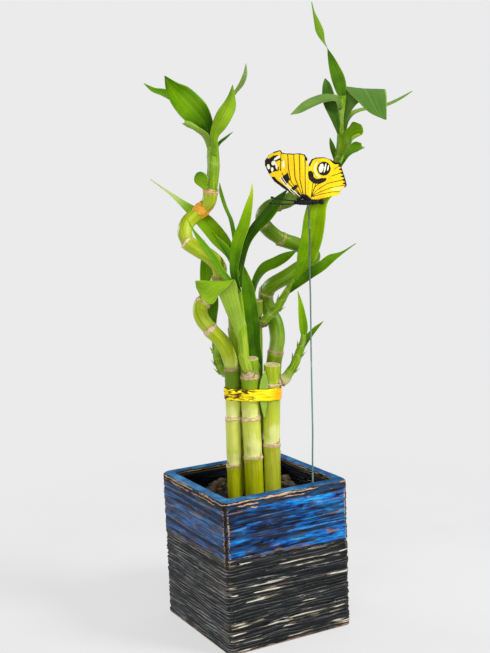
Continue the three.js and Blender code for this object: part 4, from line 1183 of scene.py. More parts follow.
# Path points are (x, y, z, width) from the base to the tip. facing lists where the upper
# face looks, spread evenly from the base to the tip. margins give a leaf's left and right
# edge instead, where a leaf folds over or twists. fold is in degrees.
LEAVES = {
    "left_crown_leaf_broad": {
        "fold": 12, "tone": (0.05, 0.45, 0.72, 0.65, 0.35), "margin": -0.2, "ripple": 0.4,
        "facing": [(-0.3, -1, 0.3), (-0.2, -1, 0.4), (-0.2, -1, 0.5)],
        "path": [
            (-17, -4, 311.5, 3), (-20, -6, 323, 10), (-25, -9, 331, 16), (-30, -10, 336.5, 17),
            (-35.5, -9, 343, 14.5), (-40, -6, 348, 9), (-44.5, -2, 355.5, 0.4),
        ],
    },
    "left_crown_leaf_far": {
        "fold": 20, "tone": (0.3, 0.55), "ripple": 0.5,
        "facing": [(-0.3, -1, 0.6), (0, -1, 0.8), (0, -1, 1)],
        "path": [
            (-17, 0, 312, 3), (-24, 8, 327, 6), (-33.5, 13, 337.5, 7.5), (-41.5, 17, 343.5, 7),
            (-47.5, 18.5, 346.5, 6), (-53.5, 20, 348.5, 4), (-59.5, 21, 353, 0.4),
        ],
    },
    "left_crown_leaf_rolled": {
        "fold": 12, "tone": (0.35, 0.55), "roll": 4.2, "pale": 0.1,
        "facing": [(0.6, 0.8, 0.2), (0.3, 0.9, 0.5), (0.1, 1, 0.3)],
        "path": [
            (-18, -2.5, 305, 3.5), (-19, -6, 312.5, 4.5), (-21, -12, 318, 5), (-25.5, -15, 321.5, 4),
            (-29.5, -18, 323.5, 4), (-33, -21, 325.5, 2.5),
        ],
    },
    "left_crown_leaf_upright": {
        "fold": 14, "tone": (0.65, 0.8, 0.6), "under": 0.4,
        "facing": [(0.2, 1, 0.2), (0.3, 1, 0.2), (0.2, 1, 0.1)],
        "path": [
            (-16, -6, 304.5, 3), (-15.5, -10.5, 312.5, 4), (-15, -11, 318, 6), (-12, -13, 323.5, 9),
            (-8.5, -14, 329.5, 10), (-5, -13, 335.5, 8.5), (-3.5, -11, 341.5, 4.5), (-2.5, -8, 348, 0.4),
        ],
    },
    "left_crown_leaf_back": {
        "fold": 20, "tone": (0.6, 0.7), "grey": 0.35, "pale": 0.25,
        "facing": [(-0.3, -1, 0.3), (-1, -0.6, 0.3), (-1, -0.3, 0.4)],
        "path": [
            (-15.5, -1, 313, 3.5), (-13.5, 5, 323, 5), (-8.5, 9.5, 333.5, 6.5), (-1.5, 13.5, 343.5, 5.5),
            (3.5, 15, 349.5, 7.5), (6, 14.5, 355, 8.5), (6.5, 12, 362, 1),
        ],
    },
    "left_crown_bract": {
        "fold": 14, "tone": (0.45, 0.5),
        "facing": [(-0.8, -0.6, 0.6)],
        "path": [
            (-15.5, -1, 304, 3), (-14.5, -1, 308.5, 3), (-12, -1.5, 313, 4), (-8, -2.5, 316, 3),
            (-3.5, -4, 319.5, 0.4),
        ],
    },
    "left_crown_leaf_round": {
        "fold": 0, "tone": (0.7, 0.75, 0.4), "cup": 1, "grey": 0.1,
        "facing": [(-0.3, -1, 0.4)],
        "path": [
            (-20, -7, 285, 2.5), (-22.5, -9, 286, 3), (-23.5, -10, 288.5, 7), (-24.5, -11, 291, 9),
            (-25.5, -11, 294, 6.5), (-26, -11, 295.5, 2.5),
        ],
    },
    "right_crown_leaf_tall": {
        "fold": 3, "tone": (0.4, 0.6), "grey": 0.1, "under": 0.6,
        "margins": [
            ((63.5, 2, 338), (67, 2, 338)), ((61.5, 1.5, 342.5), (68.5, 1.5, 342.5)),
            ((59, 0, 350), (67.5, 0, 350.5)), ((57.5, -1.5, 358), (63.5, -1.5, 358.5)),
            ((57, -2.5, 364), (60, -3.5, 364)), ((57, -2, 368.5), (56.5, -5, 368.5)),
            ((55.5, -4, 372.5), (53, -4.5, 373)), ((55, -5, 378), (50, -5, 378)),
            ((53, -5, 383.5), (49, -5, 384.5)), ((50, -3, 390), (48.5, -3, 390.5)),
            ((48.5, -1, 396.5), (48, -1, 396.5)),
        ],
    },
    "right_crown_leaf_left": {
        "fold": 14, "tone": (0.25, 0.5), "grey": 0.35, "pale": 0.08, "ripple": 0.5,
        "facing": [(-0.3, -1, 0.6), (-0.2, -0.8, 1), (-0.1, -0.8, 1)],
        "path": [
            (63.5, -3, 330.5, 3), (62, -6, 336.5, 5.5), (56.5, -10, 337.5, 8), (49.5, -13.5, 336, 10),
            (42, -16.5, 333, 8.5), (36, -18.5, 329.5, 5), (32, -20, 328, 0.4),
        ],
    },
    "right_crown_leaf_behind": {
        "fold": 14, "tone": (0.1, 0.25), "grey": 0.15,
        "facing": [(0.3, -1, 0.2)],
        "path": [
            (63, -1, 316, 3.5), (61, -2, 323.5, 5.5), (59, -3, 330, 8), (57, -4, 336, 9),
            (56, -4.5, 342, 7.5), (55.5, -4, 347, 4.5), (55, -3, 350, 0.4),
        ],
    },
    "right_crown_leaf_bent": {
        "fold": 3, "tone": (0.22, 0.32), "grey": 0.55, "ripple": 0.2,
        "margins": [
            ((67.5, 2, 320), (65, 2, 320)), ((70.5, 4, 328), (65, 4, 325.5)),
            ((76, 6, 334.5), (65, 6, 333)), ((84.5, 7, 339), (66, 7, 340)),
            ((92, 3, 342), (66.5, 4, 345)),
            ((93, -2, 338.5), (70, -1, 340)), ((92.5, -6, 332.5), (75, -5, 334.5)),
            ((92, -9, 327.5), (81.5, -8.5, 327.5)), ((91.5, -12, 323), (90, -12, 323)),
        ],
    },
    "right_crown_leaf_thin": {
        "fold": 18, "tone": (0.6, 0.6), "grey": 0.35, "pale": 0.1,
        "facing": [(-0.4, -1, 0.6), (0, -0.5, 1), (0, -0.3, 1)],
        "path": [
            (66, 1, 315.5, 3.5), (67.5, 5, 322, 4), (71, 11, 327, 4.5), (77, 17, 330, 4.5),
            (85.5, 22, 331.5, 4.5), (97, 28, 333.5, 4.5), (106.5, 31, 337.5, 3.5), (114.5, 33, 342, 1),
        ],
    },
    "right_crown_leaf_short": {
        "fold": 10, "tone": (0.75, 0.7), "grey": 0.1, "roll": 3.4,
        "facing": [(-0.4, -0.8, 0.8), (-0.4, -0.8, 0.6)],
        "path": [
            (62.5, -1, 300.5, 4.5), (65, -4, 307, 9), (68, -8, 312.5, 14), (72.5, -11, 315, 12),
            (76.5, -14, 316, 7),
        ],
    },
    "right_crown_leaf_low": {
        "fold": 12, "tone": (0.55, 0.5), "roll": 3, "under": 0.5,
        "facing": [(-0.4, -0.8, 0.8)],
        "path": [
            (63, 2, 295, 3), (66.5, 5, 301.5, 6.5), (70.5, 8, 305, 9), (75, 10, 306, 8.5),
            (79, 11.5, 307, 4.5),
        ],
    },
    "right_crown_leaf_small": {
        "fold": 14, "tone": (0.4, 0.55), "grey": 0.2,
        "facing": [(0.6, -0.8, 0.3)],
        "path": [
            (61, 1, 297, 3.5), (60, 2, 302, 4.5), (58.5, 1, 307, 5), (57.5, 0, 311, 3),
            (57, -1, 313.5, 0.4),
        ],
    },
    "centre_leaf_tall": {
        "fold": 16, "tone": (0.15, 0.5, 0.75, 0.75), "tip_yellow": 0.6,
        "facing": [(0.2, -1, 0.2)],
        "path": [
            (-4, -14, 220, 3), (-6.5, -17, 232.5, 5), (-5.5, -19, 242, 6.5), (-3, -21, 253, 7.5),
            (1, -22, 262.5, 7), (4, -22, 272.5, 5), (6.5, -21, 282, 2), (7, -20, 287.5, 0.4),
        ],
    },
    "centre_leaf_right": {
        "fold": 16, "tone": (0.15, 0.3), "side": 0.1,
        "facing": [(0.5, -1, 0.2), (-0.2, -1, 0.6), (-0.3, -1, 0.5)],
        "path": [
            (-3.5, -13, 223, 3.5), (-2, -12, 236, 4), (2, -11, 250.5, 5.5), (7, -10, 258, 7),
            (15, -9, 266, 8.5), (22.5, -9, 275, 7), (29, -8, 282.5, 0.4),
        ],
    },
    "centre_leaf_left": {
        "fold": 14, "tone": (0.65, 0.8), "tip_pale": 0.8, "under": 0,
        "facing": [(0.5, -1, 0.3), (0.4, -1, 0.3), (0.3, -1, 0.4)],
        "path": [
            (-4, -12, 227, 4.5), (-7.5, -5, 241, 7), (-14.5, 3, 251.5, 12), (-25, 9.5, 264.5, 11),
            (-36.5, 14, 274.5, 5.5), (-46, 16.5, 282.5, 2), (-58.5, 19, 292, 0.4),
        ],
    },
    "centre_leaf_small": {
        "fold": 16, "tone": (0.3, 0.6), "side": 0.2,
        "facing": [(0.3, -1, 0.3)],
        "path": [
            (-4, -14.5, 229.5, 2.5), (-8, -12.5, 241.5, 4.5), (-11.5, -8, 248, 4.5),
            (-15.5, -6, 253, 2.5),
            (-19, -4, 257.5, 0.4),
        ],
    },
    "centre_leaf_twisted": {
        "fold": 16, "tone": (0.4, 0.6),
        "facing": [(0.4, -1, 0.2), (1, -0.5, 0.2), (0.6, -1, 0.2)],
        "path": [
            (-3.5, -12, 229.5, 3.5), (-4.5, -5, 244.5, 4), (-6, 1, 257, 4.5), (-7.5, 4, 264.5, 6),
            (-10.5, 7, 272.5, 4), (-13, 9, 282, 3), (-13.5, 10, 288, 0.4),
        ],
    },
    "centre_leaf_over": {
        "fold": 16, "tone": (0.5, 0.7),
        "facing": [(0.4, -1, 0.4), (0.5, -1, 0.3)],
        "path": [
            (-4.5, -16, 219, 3.5), (-9.5, -20.5, 228, 4), (-14, -20.5, 234, 4.5), (-19.5, -21, 243.5, 5),
            (-26, -20, 253, 4), (-30.5, -17, 260, 1.5), (-34, -14, 267, 0.4),
        ],
    },
    "centre_leaf_bent": {
        "fold": 3, "tone": (0.75, 0.8), "pale": 0.03, "ripple": 0.1,
        "margins": [
            ((-3.5, -16, 191), (-6.5, -16, 190.5)), ((-2, -17.5, 201), (-9.5, -17.5, 200)),
            ((-3, -19, 210.5), (-12.5, -19, 208.5)), ((-4.5, -20, 220), (-15.5, -20, 217)),
            ((-5, -22, 226), (-18.5, -20.5, 224)), ((-7, -25, 229), (-20, -22.5, 228)),
            ((-10.5, -27, 225), (-23, -25, 229)), ((-15.5, -28, 221), (-25.5, -26, 229.5)),
            ((-20.5, -28, 214.5), (-28, -26, 229.5)), ((-26.5, -27, 218), (-29.5, -25.5, 229.5)),
            ((-30, -25.5, 225), (-30.5, -25, 229)),
        ],
    },
    "back_leaf_wide": {
        "fold": 16, "tone": (0.3, 0.5),
        "facing": [(0.3, -1, 0.1), (0.2, -1, 0.1)],
        "path": [
            (6.5, 6, 163.5, 3.5), (6.5, 4, 173, 6), (4.5, 1, 183.5, 8.5), (4, -2, 195, 9.5),
            (3, -3, 209.5, 9), (1.5, -3, 222, 8), (0, -2.5, 230, 5), (-1.5, -1, 238, 0.4),
        ],
    },
    "back_leaf_arched": {
        "fold": 16, "tone": (0.35, 0.55),
        "facing": [(-0.5, -0.8, 0.5), (-0.5, -0.8, 0.6)],
        "path": [
            (5.5, 6, 205.5, 4.5), (5, 1, 216.5, 4), (7.5, -1, 226, 6), (12.5, -2, 233, 8),
            (20, -3, 236.5, 8.5), (27, -4, 240, 7), (34, -5, 244, 0.4),
        ],
    },
    "upper_leaf_wide": {
        "fold": 16, "tone": (0.6, 0.85), "side": 0.1,
        "facing": [(0, -1, 0.2), (-0.1, -1, 0.2), (-0.2, -1, 0.3)],
        "path": [
            (29, -6, 218.5, 2.5), (33, -8, 225.5, 5), (36.5, -10.5, 232.5, 8), (39.5, -12.5, 241, 12),
            (43, -13.5, 252, 13.5), (45.5, -13, 265, 13.5), (48, -12, 273.5, 11.5), (53, -11, 279, 8),
            (65, -8, 283, 0.4),
        ],
    },
    "upper_leaf_right": {
        "fold": 16, "tone": (0.35, 0.6),
        "facing": [(0.4, -0.8, 0.6)],
        "path": [
            (28, -6, 218, 2.5), (35, -11, 224.5, 5), (42, -15, 230.5, 7), (48.5, -16.5, 234.5, 6.5),
            (54.5, -16.5, 239, 5.5), (61, -15.5, 242, 2), (70.5, -13, 247.5, 0.4),
        ],
    },
    "lower_leaf_up": {
        "fold": 14, "tone": (0.6, 0.85),
        "facing": [(0.2, -1, 0.2)],
        "path": [
            (36.5, -3, 186, 2), (36.5, -4, 193.5, 5.5), (35.5, -5, 204.5, 4.5), (34.5, -5, 213, 2),
            (33.5, -5, 218, 0.4),
        ],
    },
    "lower_leaf_right": {
        "fold": 16, "tone": (0.45, 0.7),
        "facing": [(-0.3, -0.8, 0.6)],
        "path": [
            (35.5, -2, 181, 3.5), (39, -4.5, 187.5, 4.5), (43.5, -6, 193, 3.5), (49, -8, 198.5, 0.4),
        ],
    },
    "side_leaf_left": {
        "fold": 14, "tone": (0.45, 0.6),
        "facing": [(0.1, -1, 0.1)],
        "path": [
            (-21.5, 7, 189.5, 3.5), (-22, 8.5, 198.5, 5.5), (-22.5, 10, 209.5, 10),
            (-23.5, 10.5, 222.5, 10.5), (-24.5, 10, 234, 8), (-25, 9, 245.5, 3), (-25, 8, 252, 0.4),
        ],
    },
}


def leaf_margins(path, facing):
    """The left and right margin at each path point."""
    points = [Vector(point[:3]) for point in path]
    ways = [Vector(way) for way in facing]
    margins = []
    for k, station in enumerate(path):
        t = k / (len(path) - 1)
        side = curve_tangent(points, t).cross(mixed_along(ways, t)).normalized()
        margins.append((points[k] - side * station[3] / 2, points[k] + side * station[3] / 2))
    return margins


def leaf_lines(margins, fold):
    """The path and the left margin, middle and right margin along it, with the knot gaps."""
    points = [(left + right) / 2 for left, right in margins]
    slope = math.tan(math.radians(fold))
    lines = [], [], []
    for k, (left, right) in enumerate(margins):
        tangent = curve_tangent(points, k / (len(points) - 1))
        half = (right - left) / 2
        up = half.normalized().cross(tangent).normalized()
        rise = up * half.length * slope / 2
        for line, point in zip(lines, (left + rise, points[k] - rise, right + rise)):
            line.append(point)
    gaps = [(end - start).length ** 0.5 for start, end in zip(points, points[1:])]
    return points, lines, gaps


def leaf_section(half, rise, look, t, across):
    """A point of the leaf's section: how far aside and how high."""
    soft = math.sqrt(FOLD_SOFTNESS)
    bend = math.sqrt(across * across + FOLD_SOFTNESS) - soft
    bend /= math.sqrt(1 + FOLD_SOFTNESS) - soft
    aside, lift = half * across, -rise * (1 - bend)
    cup = 1 - smooth_step(0, 0.13, t)
    roll = smooth_step(ROLL_START, ROLL_END, t) if look["roll"] else 0
    for turn, weight in ((look["cup"], cup), (look["roll"], roll)):
        if weight > 0:
            radius = half / math.sin(min(turn / 2, math.pi / 2))
            aside += weight * (radius * math.sin(across * turn / 2) - aside)
            lift += weight * (radius * (1 - math.cos(across * turn / 2)) - rise - lift)
    return aside, lift


def leaf_tags(look, t, across, under):
    # Low tones at the bases and on shaded leaves are painted shade; side paints one half lighter.
    tone = value_along(look["tone"], t) + look["side"] * across + look["margin"] * across * across
    return {
        "across": across, "along": t, "under": under * look["under"], "tone": tone,
        "pale": look["pale"] + look["tip_pale"] * smooth_step(0.6, 0.85, t), "grey": look["grey"],
        "yellow": look["tip_yellow"] * smooth_step(0.7, 0.98, t),
    }


def add_leaf(name, leaf, material):
    look = {**PLAIN_LEAF, **leaf}
    seed = random.Random(name).uniform(0, 50)
    if "margins" in leaf:
        margins = [(Vector(left), Vector(right)) for left, right in leaf["margins"]]
    else:
        margins = leaf_margins(leaf["path"], leaf["facing"])
    points, (left, middle, right), gaps = leaf_lines(margins, leaf["fold"])
    stations = even_stations(points, LEAF_STEP)
    shares = [2 * column / LEAF_COLUMNS - 1 for column in range(LEAF_COLUMNS + 1)]
    verts, tags = [], {}
    for t, length in stations:
        low, mid, high = (curve_point(line, t, gaps) for line in (left, middle, right))
        chord = high - low
        centre = (low + high) / 2
        half = max(chord.length / 2, LEAF_LEAST_HALF)
        side = chord.normalized() if chord.length > 1e-3 else Vector((1, 0, 0))
        up = side.cross(curve_tangent(points, t)).normalized()
        rise = max((centre - mid).dot(up), 0)
        full = min(half / 4, 1)
        section = []
        for across in shares:
            aside, lift = leaf_section(half, rise, look, t, across)
            wave = noise.noise(Vector((length / 9, seed, math.copysign(3, across))))
            lift += look["ripple"] * wave * abs(across) ** 2.5 * full
            lift += 0.04 * math.sin(across * 15 + seed) * full
            section.append(Vector((aside, lift)))
        upper, lower = [], []
        for column, (spot, across) in enumerate(zip(section, shares)):
            along = section[min(column + 1, LEAF_COLUMNS)] - section[max(column - 1, 0)]
            normal = Vector((-along.y, along.x)).normalized()
            thick = LEAF_MID_THICKNESS * (1 - 0.5 * t) * math.sqrt(max(1 - across ** 2, 0)) / 2
            upper.append((spot + normal * thick, across, 0.5 if abs(across) == 1 else 0))
            lower.append((spot - normal * thick, across, 1))
        for spot, across, under in upper + lower[-2:0:-1]:
            verts.append(centre + side * spot.x + up * spot.y)
            note(tags, **leaf_tags(look, t, across, under))
    faces = ring_faces(len(stations), 2 * LEAF_COLUMNS)
    add_piece(f"{name}_blade", verts, faces, tags, material, "leaf", node=name)


# ---- pot ----

POT_HALF = 45
POT_TOP = 98
POT_WALL = 6.5
POT_FLOOR = 8
POT_CORNER = 4
WALL_START = 1.1
WALL_ROWS = 262
SHOULDER = 95.4
SHOULDER_ROWS = 9
SHOULDER_INSET = 2.6
INNER_INSET = 5.1
INNER_ROUND = 1.4
INNER_ROWS = 6
INNER_TOP = 96
GRAVEL_TOP = 84
SIDE_COLUMNS = 60
CORNER_COLUMNS = 8
COMB_DEPTH = 1
GLAZE_EDGE = 62
GLAZE_EDGE_DROP = 0.045


def pot_columns():
    """Each column as a point of the unit square's edge and the way the wall faces there."""
    columns = []
    for side in range(4):
        turn = Matrix.Rotation(side * math.pi / 2, 2)
        for k in range(SIDE_COLUMNS):
            base = Vector((1, -1 + 2 * (k + 0.5) / SIDE_COLUMNS))
            columns.append((turn @ base, turn @ Vector((1, 0))))
        for k in range(CORNER_COLUMNS):
            angle = (k + 0.5) / CORNER_COLUMNS * math.pi / 2
            way = Vector((math.cos(angle), math.sin(angle)))
            columns.append((turn @ Vector((1, 1)), turn @ way))
    return columns


def pot_profile():
    """Rings from the foot over the rim to the floor: [inset, height, corner radius, zone]."""
    rings = [(1.6, 0, 2.4, "wall"), (0.7, 0.15, 3.3, "wall"), (0.2, 0.6, 3.8, "wall")]
    for k in range(WALL_ROWS + 1):
        height = WALL_START + (SHOULDER - WALL_START) * k / WALL_ROWS
        rings.append((0, height, POT_CORNER, "wall"))
    for k in range(1, SHOULDER_ROWS + 1):
        angle = k / SHOULDER_ROWS * math.pi / 2
        inset = SHOULDER_INSET * (1 - math.cos(angle))
        height = SHOULDER + (POT_TOP - SHOULDER) * math.sin(angle)
        rings.append((inset, height, POT_CORNER, "rim"))
    rings += [(3.6, POT_TOP, POT_CORNER, "rim"), (4.6, POT_TOP - 0.05, POT_CORNER, "rim")]
    for k in range(1, INNER_ROWS + 1):
        angle = k / INNER_ROWS * math.pi / 2
        height = POT_TOP - INNER_ROUND * (1 - math.cos(angle))
        rings.append((INNER_INSET + INNER_ROUND * math.sin(angle), height, POT_CORNER, "rim"))
    for top, bottom, rows in ((INNER_TOP, GRAVEL_TOP, 16), (GRAVEL_TOP, POT_FLOOR, 8)):
        for k in range(1, rows + 1):
            height = top - (top - bottom) * k / rows
            rings.append((POT_WALL, height, POT_CORNER, "inside"))
    return rings


def comb_height(x, y, z):
    """Wandering level ridges from 0 to 1, as a coarse comb leaves them in the clay."""
    level = z + 1.1 * noise.noise(Vector((x / 38, y / 38, z / 30)))
    level += 0.25 * noise.noise(Vector((x / 8, y / 8, z / 6)))
    coarse = 1 - 3 * abs(noise.noise(Vector((x / 90, y / 90, level / 2.7))))
    fine = 1 - 2.6 * abs(noise.noise(Vector((x / 40 + 9, y / 40, level / 1.4))))
    return min(max(0.66 * coarse + 0.34 * fine, 0), 1)


def above_glaze_edge(x, y, height):
    """How far a point of the wall is over the dripping edge between the two glazes."""
    edge = GLAZE_EDGE - GLAZE_EDGE_DROP * (abs(x + POT_HALF) + abs(y + POT_HALF))
    edge += 3.2 * noise.noise(Vector((x / 16, y / 16, 2)))
    edge += 1.6 * noise.noise(Vector((x / 5, y / 5, 7)))
    return height - edge


def glaze_lift(x, y, height, zone, crest, corner, above):
    """How far the glaze stands out from the smooth pot."""
    if zone == "rim":
        return 0.16 * noise.noise(Vector((x / 7, y / 7, height / 4)))
    if zone == "inside":
        return 0.0
    fade = smooth_step(0, 2, height) * (1 - 0.75 * smooth_step(92, SHOULDER, height))
    depth = COMB_DEPTH * (1 - 0.45 * smooth_step(-2, 3, above))
    beads = noise.noise(Vector((1, height / 1.6, x + y))) * 0.5 * corner
    lift = ((crest - 0.8) * depth + beads) * fade
    return lift + 0.25 * bump(height - 93.5, 0.5)


def add_pot():
    columns, profile = pot_columns(), pot_profile()
    points, tags = [], {}
    for inset, height, corner_radius, zone in profile:
        half = POT_HALF - inset
        for base, way in columns:
            flat = base * (half - corner_radius) + way * corner_radius
            x, y = flat
            crest = comb_height(x, y, height)
            reach = max(abs(x), abs(y)) + min(abs(x), abs(y))
            corner = min(max((reach + 2 * inset - 2 * POT_HALF + 4.4) / 3, 0), 1)
            above = above_glaze_edge(x, y, height)
            spot = flat + way * glaze_lift(x, y, height, zone, crest, corner, above)
            points.append((spot.x, spot.y, height))
            note(
                tags, crest=crest, corner=corner, zone=above, rim=float(zone == "rim"),
                inside=float(zone == "inside"),
                # This tag marks the left face, where the glazes get a painted sheen.
                dull=smooth_step(-30, -44, x) * smooth_step(-POT_HALF, -43, y),
                # The bright tag marks where a painted highlight lifts the blue on the right face.
                bright=smooth_step(-15, 40, x) * smooth_step(-30, -44, y),
            )
    faces = ring_faces(len(profile), len(columns))
    look = pot_material()
    add_piece(
        "pot_glazed", points, faces, tags, look, "pot_glaze", node="pot", in_plant=False,
    )


# ---- gravel ----

STONE_SEED = 11
STONE_TRIES = 2600
STONE_SIZES = (2.2, 4.4)


def stone_shape(detail):
    """The points and faces of a round stone, before it is knocked out of shape."""
    mesh = bpy.data.meshes.new("stone_shape")
    shape = bmesh.new()
    bmesh.ops.create_icosphere(shape, subdivisions=detail, radius=1)
    shape.to_mesh(mesh)
    shape.free()
    points = [vertex.co.copy() for vertex in mesh.vertices]
    faces = [tuple(face.vertices) for face in mesh.polygons]
    bpy.data.meshes.remove(mesh)
    return points, faces


def rough_stone(points, size, turn, seed):
    """Dents and a few flats give each stone its own form."""
    shaped = []
    for point in points:
        place = point * 1.1 + Vector((seed, 0, 0))
        reach = 1 + 0.28 * noise.noise(place) + 0.06 * noise.noise(place * 3.7)
        knocked = Vector([axis * reach * stretch for axis, stretch in zip(point, size)])
        shaped.append(turn @ knocked)
    return shaped


def add_gravel(material, stalks):
    """Stones scattered over the bed, clear of the stalks and of each other."""
    rng = random.Random(STONE_SEED)
    ball, ball_faces = stone_shape(3)
    stems = []
    for stalk in stalks:
        centre = stalk.at(GRAVEL_TOP - STALK_FOOT, 0, 0)
        stems.append((Vector((centre.x, centre.y)), stalk.radii[0]))
    points, faces, tags = [], [], {"shade": []}
    placed = []
    for _ in range(STONE_TRIES):
        across = rng.uniform(*STONE_SIZES)
        reach = POT_HALF - POT_WALL
        x, y = (rng.uniform(across - reach, reach - across) for _ in range(2))
        spot = Vector((x, y, 0))
        local = (PLANT_TURN.inverted() @ spot).xy
        clear = all((local - centre).length > radius + across * 0.8 for centre, radius in stems)
        apart = all((spot - other).length > (across + wide) * 0.78 for other, wide in placed)
        if not (clear and apart):
            continue
        placed.append((spot, across))
        size = (across, across * rng.uniform(0.65, 1), across * rng.uniform(0.5, 0.8))
        turn = Matrix.Rotation(rng.uniform(0, 6.3), 3, "Z")
        turn = turn @ Matrix.Rotation(rng.uniform(-0.4, 0.4), 3, "X")
        shape = rough_stone(ball, size, turn, rng.uniform(0, 99))
        raised = Vector((x, y, GRAVEL_TOP - size[2] * rng.uniform(0.1, 0.5)))
        first = len(points)
        points += [point + raised for point in shape]
        faces += [tuple(first + k for k in face) for face in ball_faces]
        tags["shade"] += [rng.uniform(0, 1)] * len(ball)
    add_piece("gravel_stones", points, faces, tags, material, "gravel", in_plant=False)


PEBBLES = [
    {"at": (-24, 18), "size": (5.5, 4, 2.6), "turn": 0.4},
    {"at": (-21, 28), "size": (4.5, 3.4, 2.2), "turn": 1.3},
    {"at": (-28, 4), "size": (4, 5, 2.4), "turn": 0.2},
    {"at": (23, 12), "size": (5, 3.6, 2.4), "turn": -0.5},
    {"at": (22, 27), "size": (4.4, 3.8, 2.6), "turn": 0.9},
    {"at": (3, 27), "size": (4.6, 3.6, 2.2), "turn": 0.1},
]


def add_pebbles(material):
    ball, ball_faces = stone_shape(4)
    for count, pebble in enumerate(PEBBLES, 1):
        turn = Matrix.Rotation(pebble["turn"], 3, "Z")
        shape = rough_stone(ball, pebble["size"], turn, 7.7 * count)
        foot = min(point.z for point in shape)
        middle = Vector((*pebble["at"], GRAVEL_TOP + 0.3 - foot))
        points = [point + middle for point in shape]
        add_piece(
            f"pebble_{count}_stone", points, ball_faces, {"shade": [0.7] * len(ball)},
            material, "gravel", node=f"pebble_{count}",
        )


# ---- tie band ----

BAND_BOTTOM = 149
BAND_TOP = 156.5
BAND_GAP = 0.65
BAND_LEAN = 0.045
OUTLINE_STEPS = 1440
BAND_COLUMNS = 420
BAND_ROWS = 22
FOIL_THICKNESS = 0.16

# What the band wraps at its height: (x, y, radius).
WRAPPED = [
    (-10.5, -2, 4.9), (0.7, -4, 6.1), (14.8, -1, 5.3), (15.8, 10, 5.2), (4.2, 9, 5.2),
    (-7.8, 8.5, 5.1), (6.4, -8.6, 0.5), (12.4, -7.2, 0.5),
]
TUCKED_LEAF = {
    "fold": 0, "tone": (0.85, 0.8), "pale": 0.22, "facing": [(0.2, -1, 0)],
    "path": [
        (9.2, -8.1, 137, 0.6), (9.2, -8, 142, 2.8), (9.3, -7.9, 150, 5.6), (9.6, -7.8, 157, 6),
        (10, -7.7, 162, 4.5), (10.6, -7.6, 168, 0.8),
    ],
}


def taut_outline(offset):
    """Even points along the taut loop round the wrapped circles, with the way out of each."""
    loop = []
    for angle in angles(OUTLINE_STEPS):
        way = Vector((math.cos(angle), math.sin(angle)))
        x, y, radius = max(WRAPPED, key=lambda c: c[0] * way.x + c[1] * way.y + c[2])
        loop.append((Vector((x, y)) + way * (radius + offset), way))
    lengths = [0.0]
    for (here, _), (after, _) in zip(loop, loop[1:] + loop[:1]):
        lengths.append(lengths[-1] + (after - here).length)
    outline, k = [], 0
    for column in range(BAND_COLUMNS):
        wanted = lengths[-1] * column / BAND_COLUMNS
        while lengths[k + 1] < wanted:
            k += 1
        w = (wanted - lengths[k]) / max(lengths[k + 1] - lengths[k], 1e-9)
        here, after = loop[k], loop[(k + 1) % OUTLINE_STEPS]
        outline.append((here[0].lerp(after[0], w), here[1].lerp(after[1], w).normalized()))
    return outline


def add_band():
    """A closed loop of thin foil with sharp creases and uneven edges."""
    outline = taut_outline(BAND_GAP)
    points, tags = [], {}
    for face in (1, 0):
        for row in range(BAND_ROWS + 1):
            w = row / BAND_ROWS
            for column, (spot, way) in enumerate(outline):
                place = Vector((spot.x / 7, spot.y / 7, w * 2.6))
                span = (spot.x + 14) / 36
                crease = 1 - 2 * abs(noise.noise(place)) - 0.8 * abs(noise.noise(place * 2.3))
                crease *= 1 - 0.75 * smooth_step(0.45, 0.65, span)
                ripple = 0.35 * noise.noise(Vector((spot.x / 5, spot.y / 5, 4)))
                ripple -= BAND_LEAN * spot.x
                low = BAND_BOTTOM + ripple + 0.3 * noise.noise(place * 1.7)
                high = BAND_TOP + ripple + 0.3 * noise.noise(place * 1.9)
                lift = 0.2 * crease - 0.1 * (1 - math.sin(math.pi * w)) + FOIL_THICKNESS * face
                at = spot + way * lift
                points.append((at.x, at.y, low + (high - low) * w))
                note(tags, crease=crease, span=span, run=column / BAND_COLUMNS, rise=w)
    faces = []
    size = (BAND_ROWS + 1) * BAND_COLUMNS
    for column in range(BAND_COLUMNS):
        after = (column + 1) % BAND_COLUMNS
        for row in range(BAND_ROWS):
            a, b = row * BAND_COLUMNS + column, row * BAND_COLUMNS + after
            c, d = b + BAND_COLUMNS, a + BAND_COLUMNS
            faces.append((a, b, c, d))
            faces.append((a + size, d + size, c + size, b + size))
        top = BAND_ROWS * BAND_COLUMNS
        faces.append((column + size, after + size, after, column))
        faces.append((top + column, top + after, top + after + size, top + column + size))
    add_piece("tie_band_foil", points, faces, tags, foil_material(), "gold_band", node="tie_band")


# ---- butterfly pick ----

BODY_CENTRE = Vector((41.5, -19, 274.5))
BODY_HALF = 9.5
BODY_RINGS = 90
BODY_SIDES = 36
BODY_HAIRS = 420
HAIR_SEED = 5
WING_YAW = math.radians(10)
WING_RINGS = 64
WING_SPOKES = 260
WING_THICKNESS = 0.3

# Outlines as (across, up) from the middle of the butterfly's body.
LEFT_WING = [
    (0, 0), (-4, 2.5), (-10, 5.5), (-15.5, 9), (-21, 13.5), (-24, 18), (-26.5, 23.5),
    (-26.5, 26.5), (-24, 29.5), (-20.5, 31.5), (-16.5, 32.5), (-15, 30.5), (-9.5, 30),
    (-4.5, 30), (-1.5, 29), (-0.1, 26.5), (0, 22),
]
RIGHT_WING = [
    (0, 0), (0.1, 22), (2.5, 26), (5, 27), (10, 27), (14.5, 25.5), (17.5, 23.5),
    (20.5, 23.5), (21.5, 19.5), (23, 15), (24.5, 9.5), (23.5, 8), (20.5, 7), (20, 4.5),
    (18, 3.5), (12, 2.5), (4, 1),
]


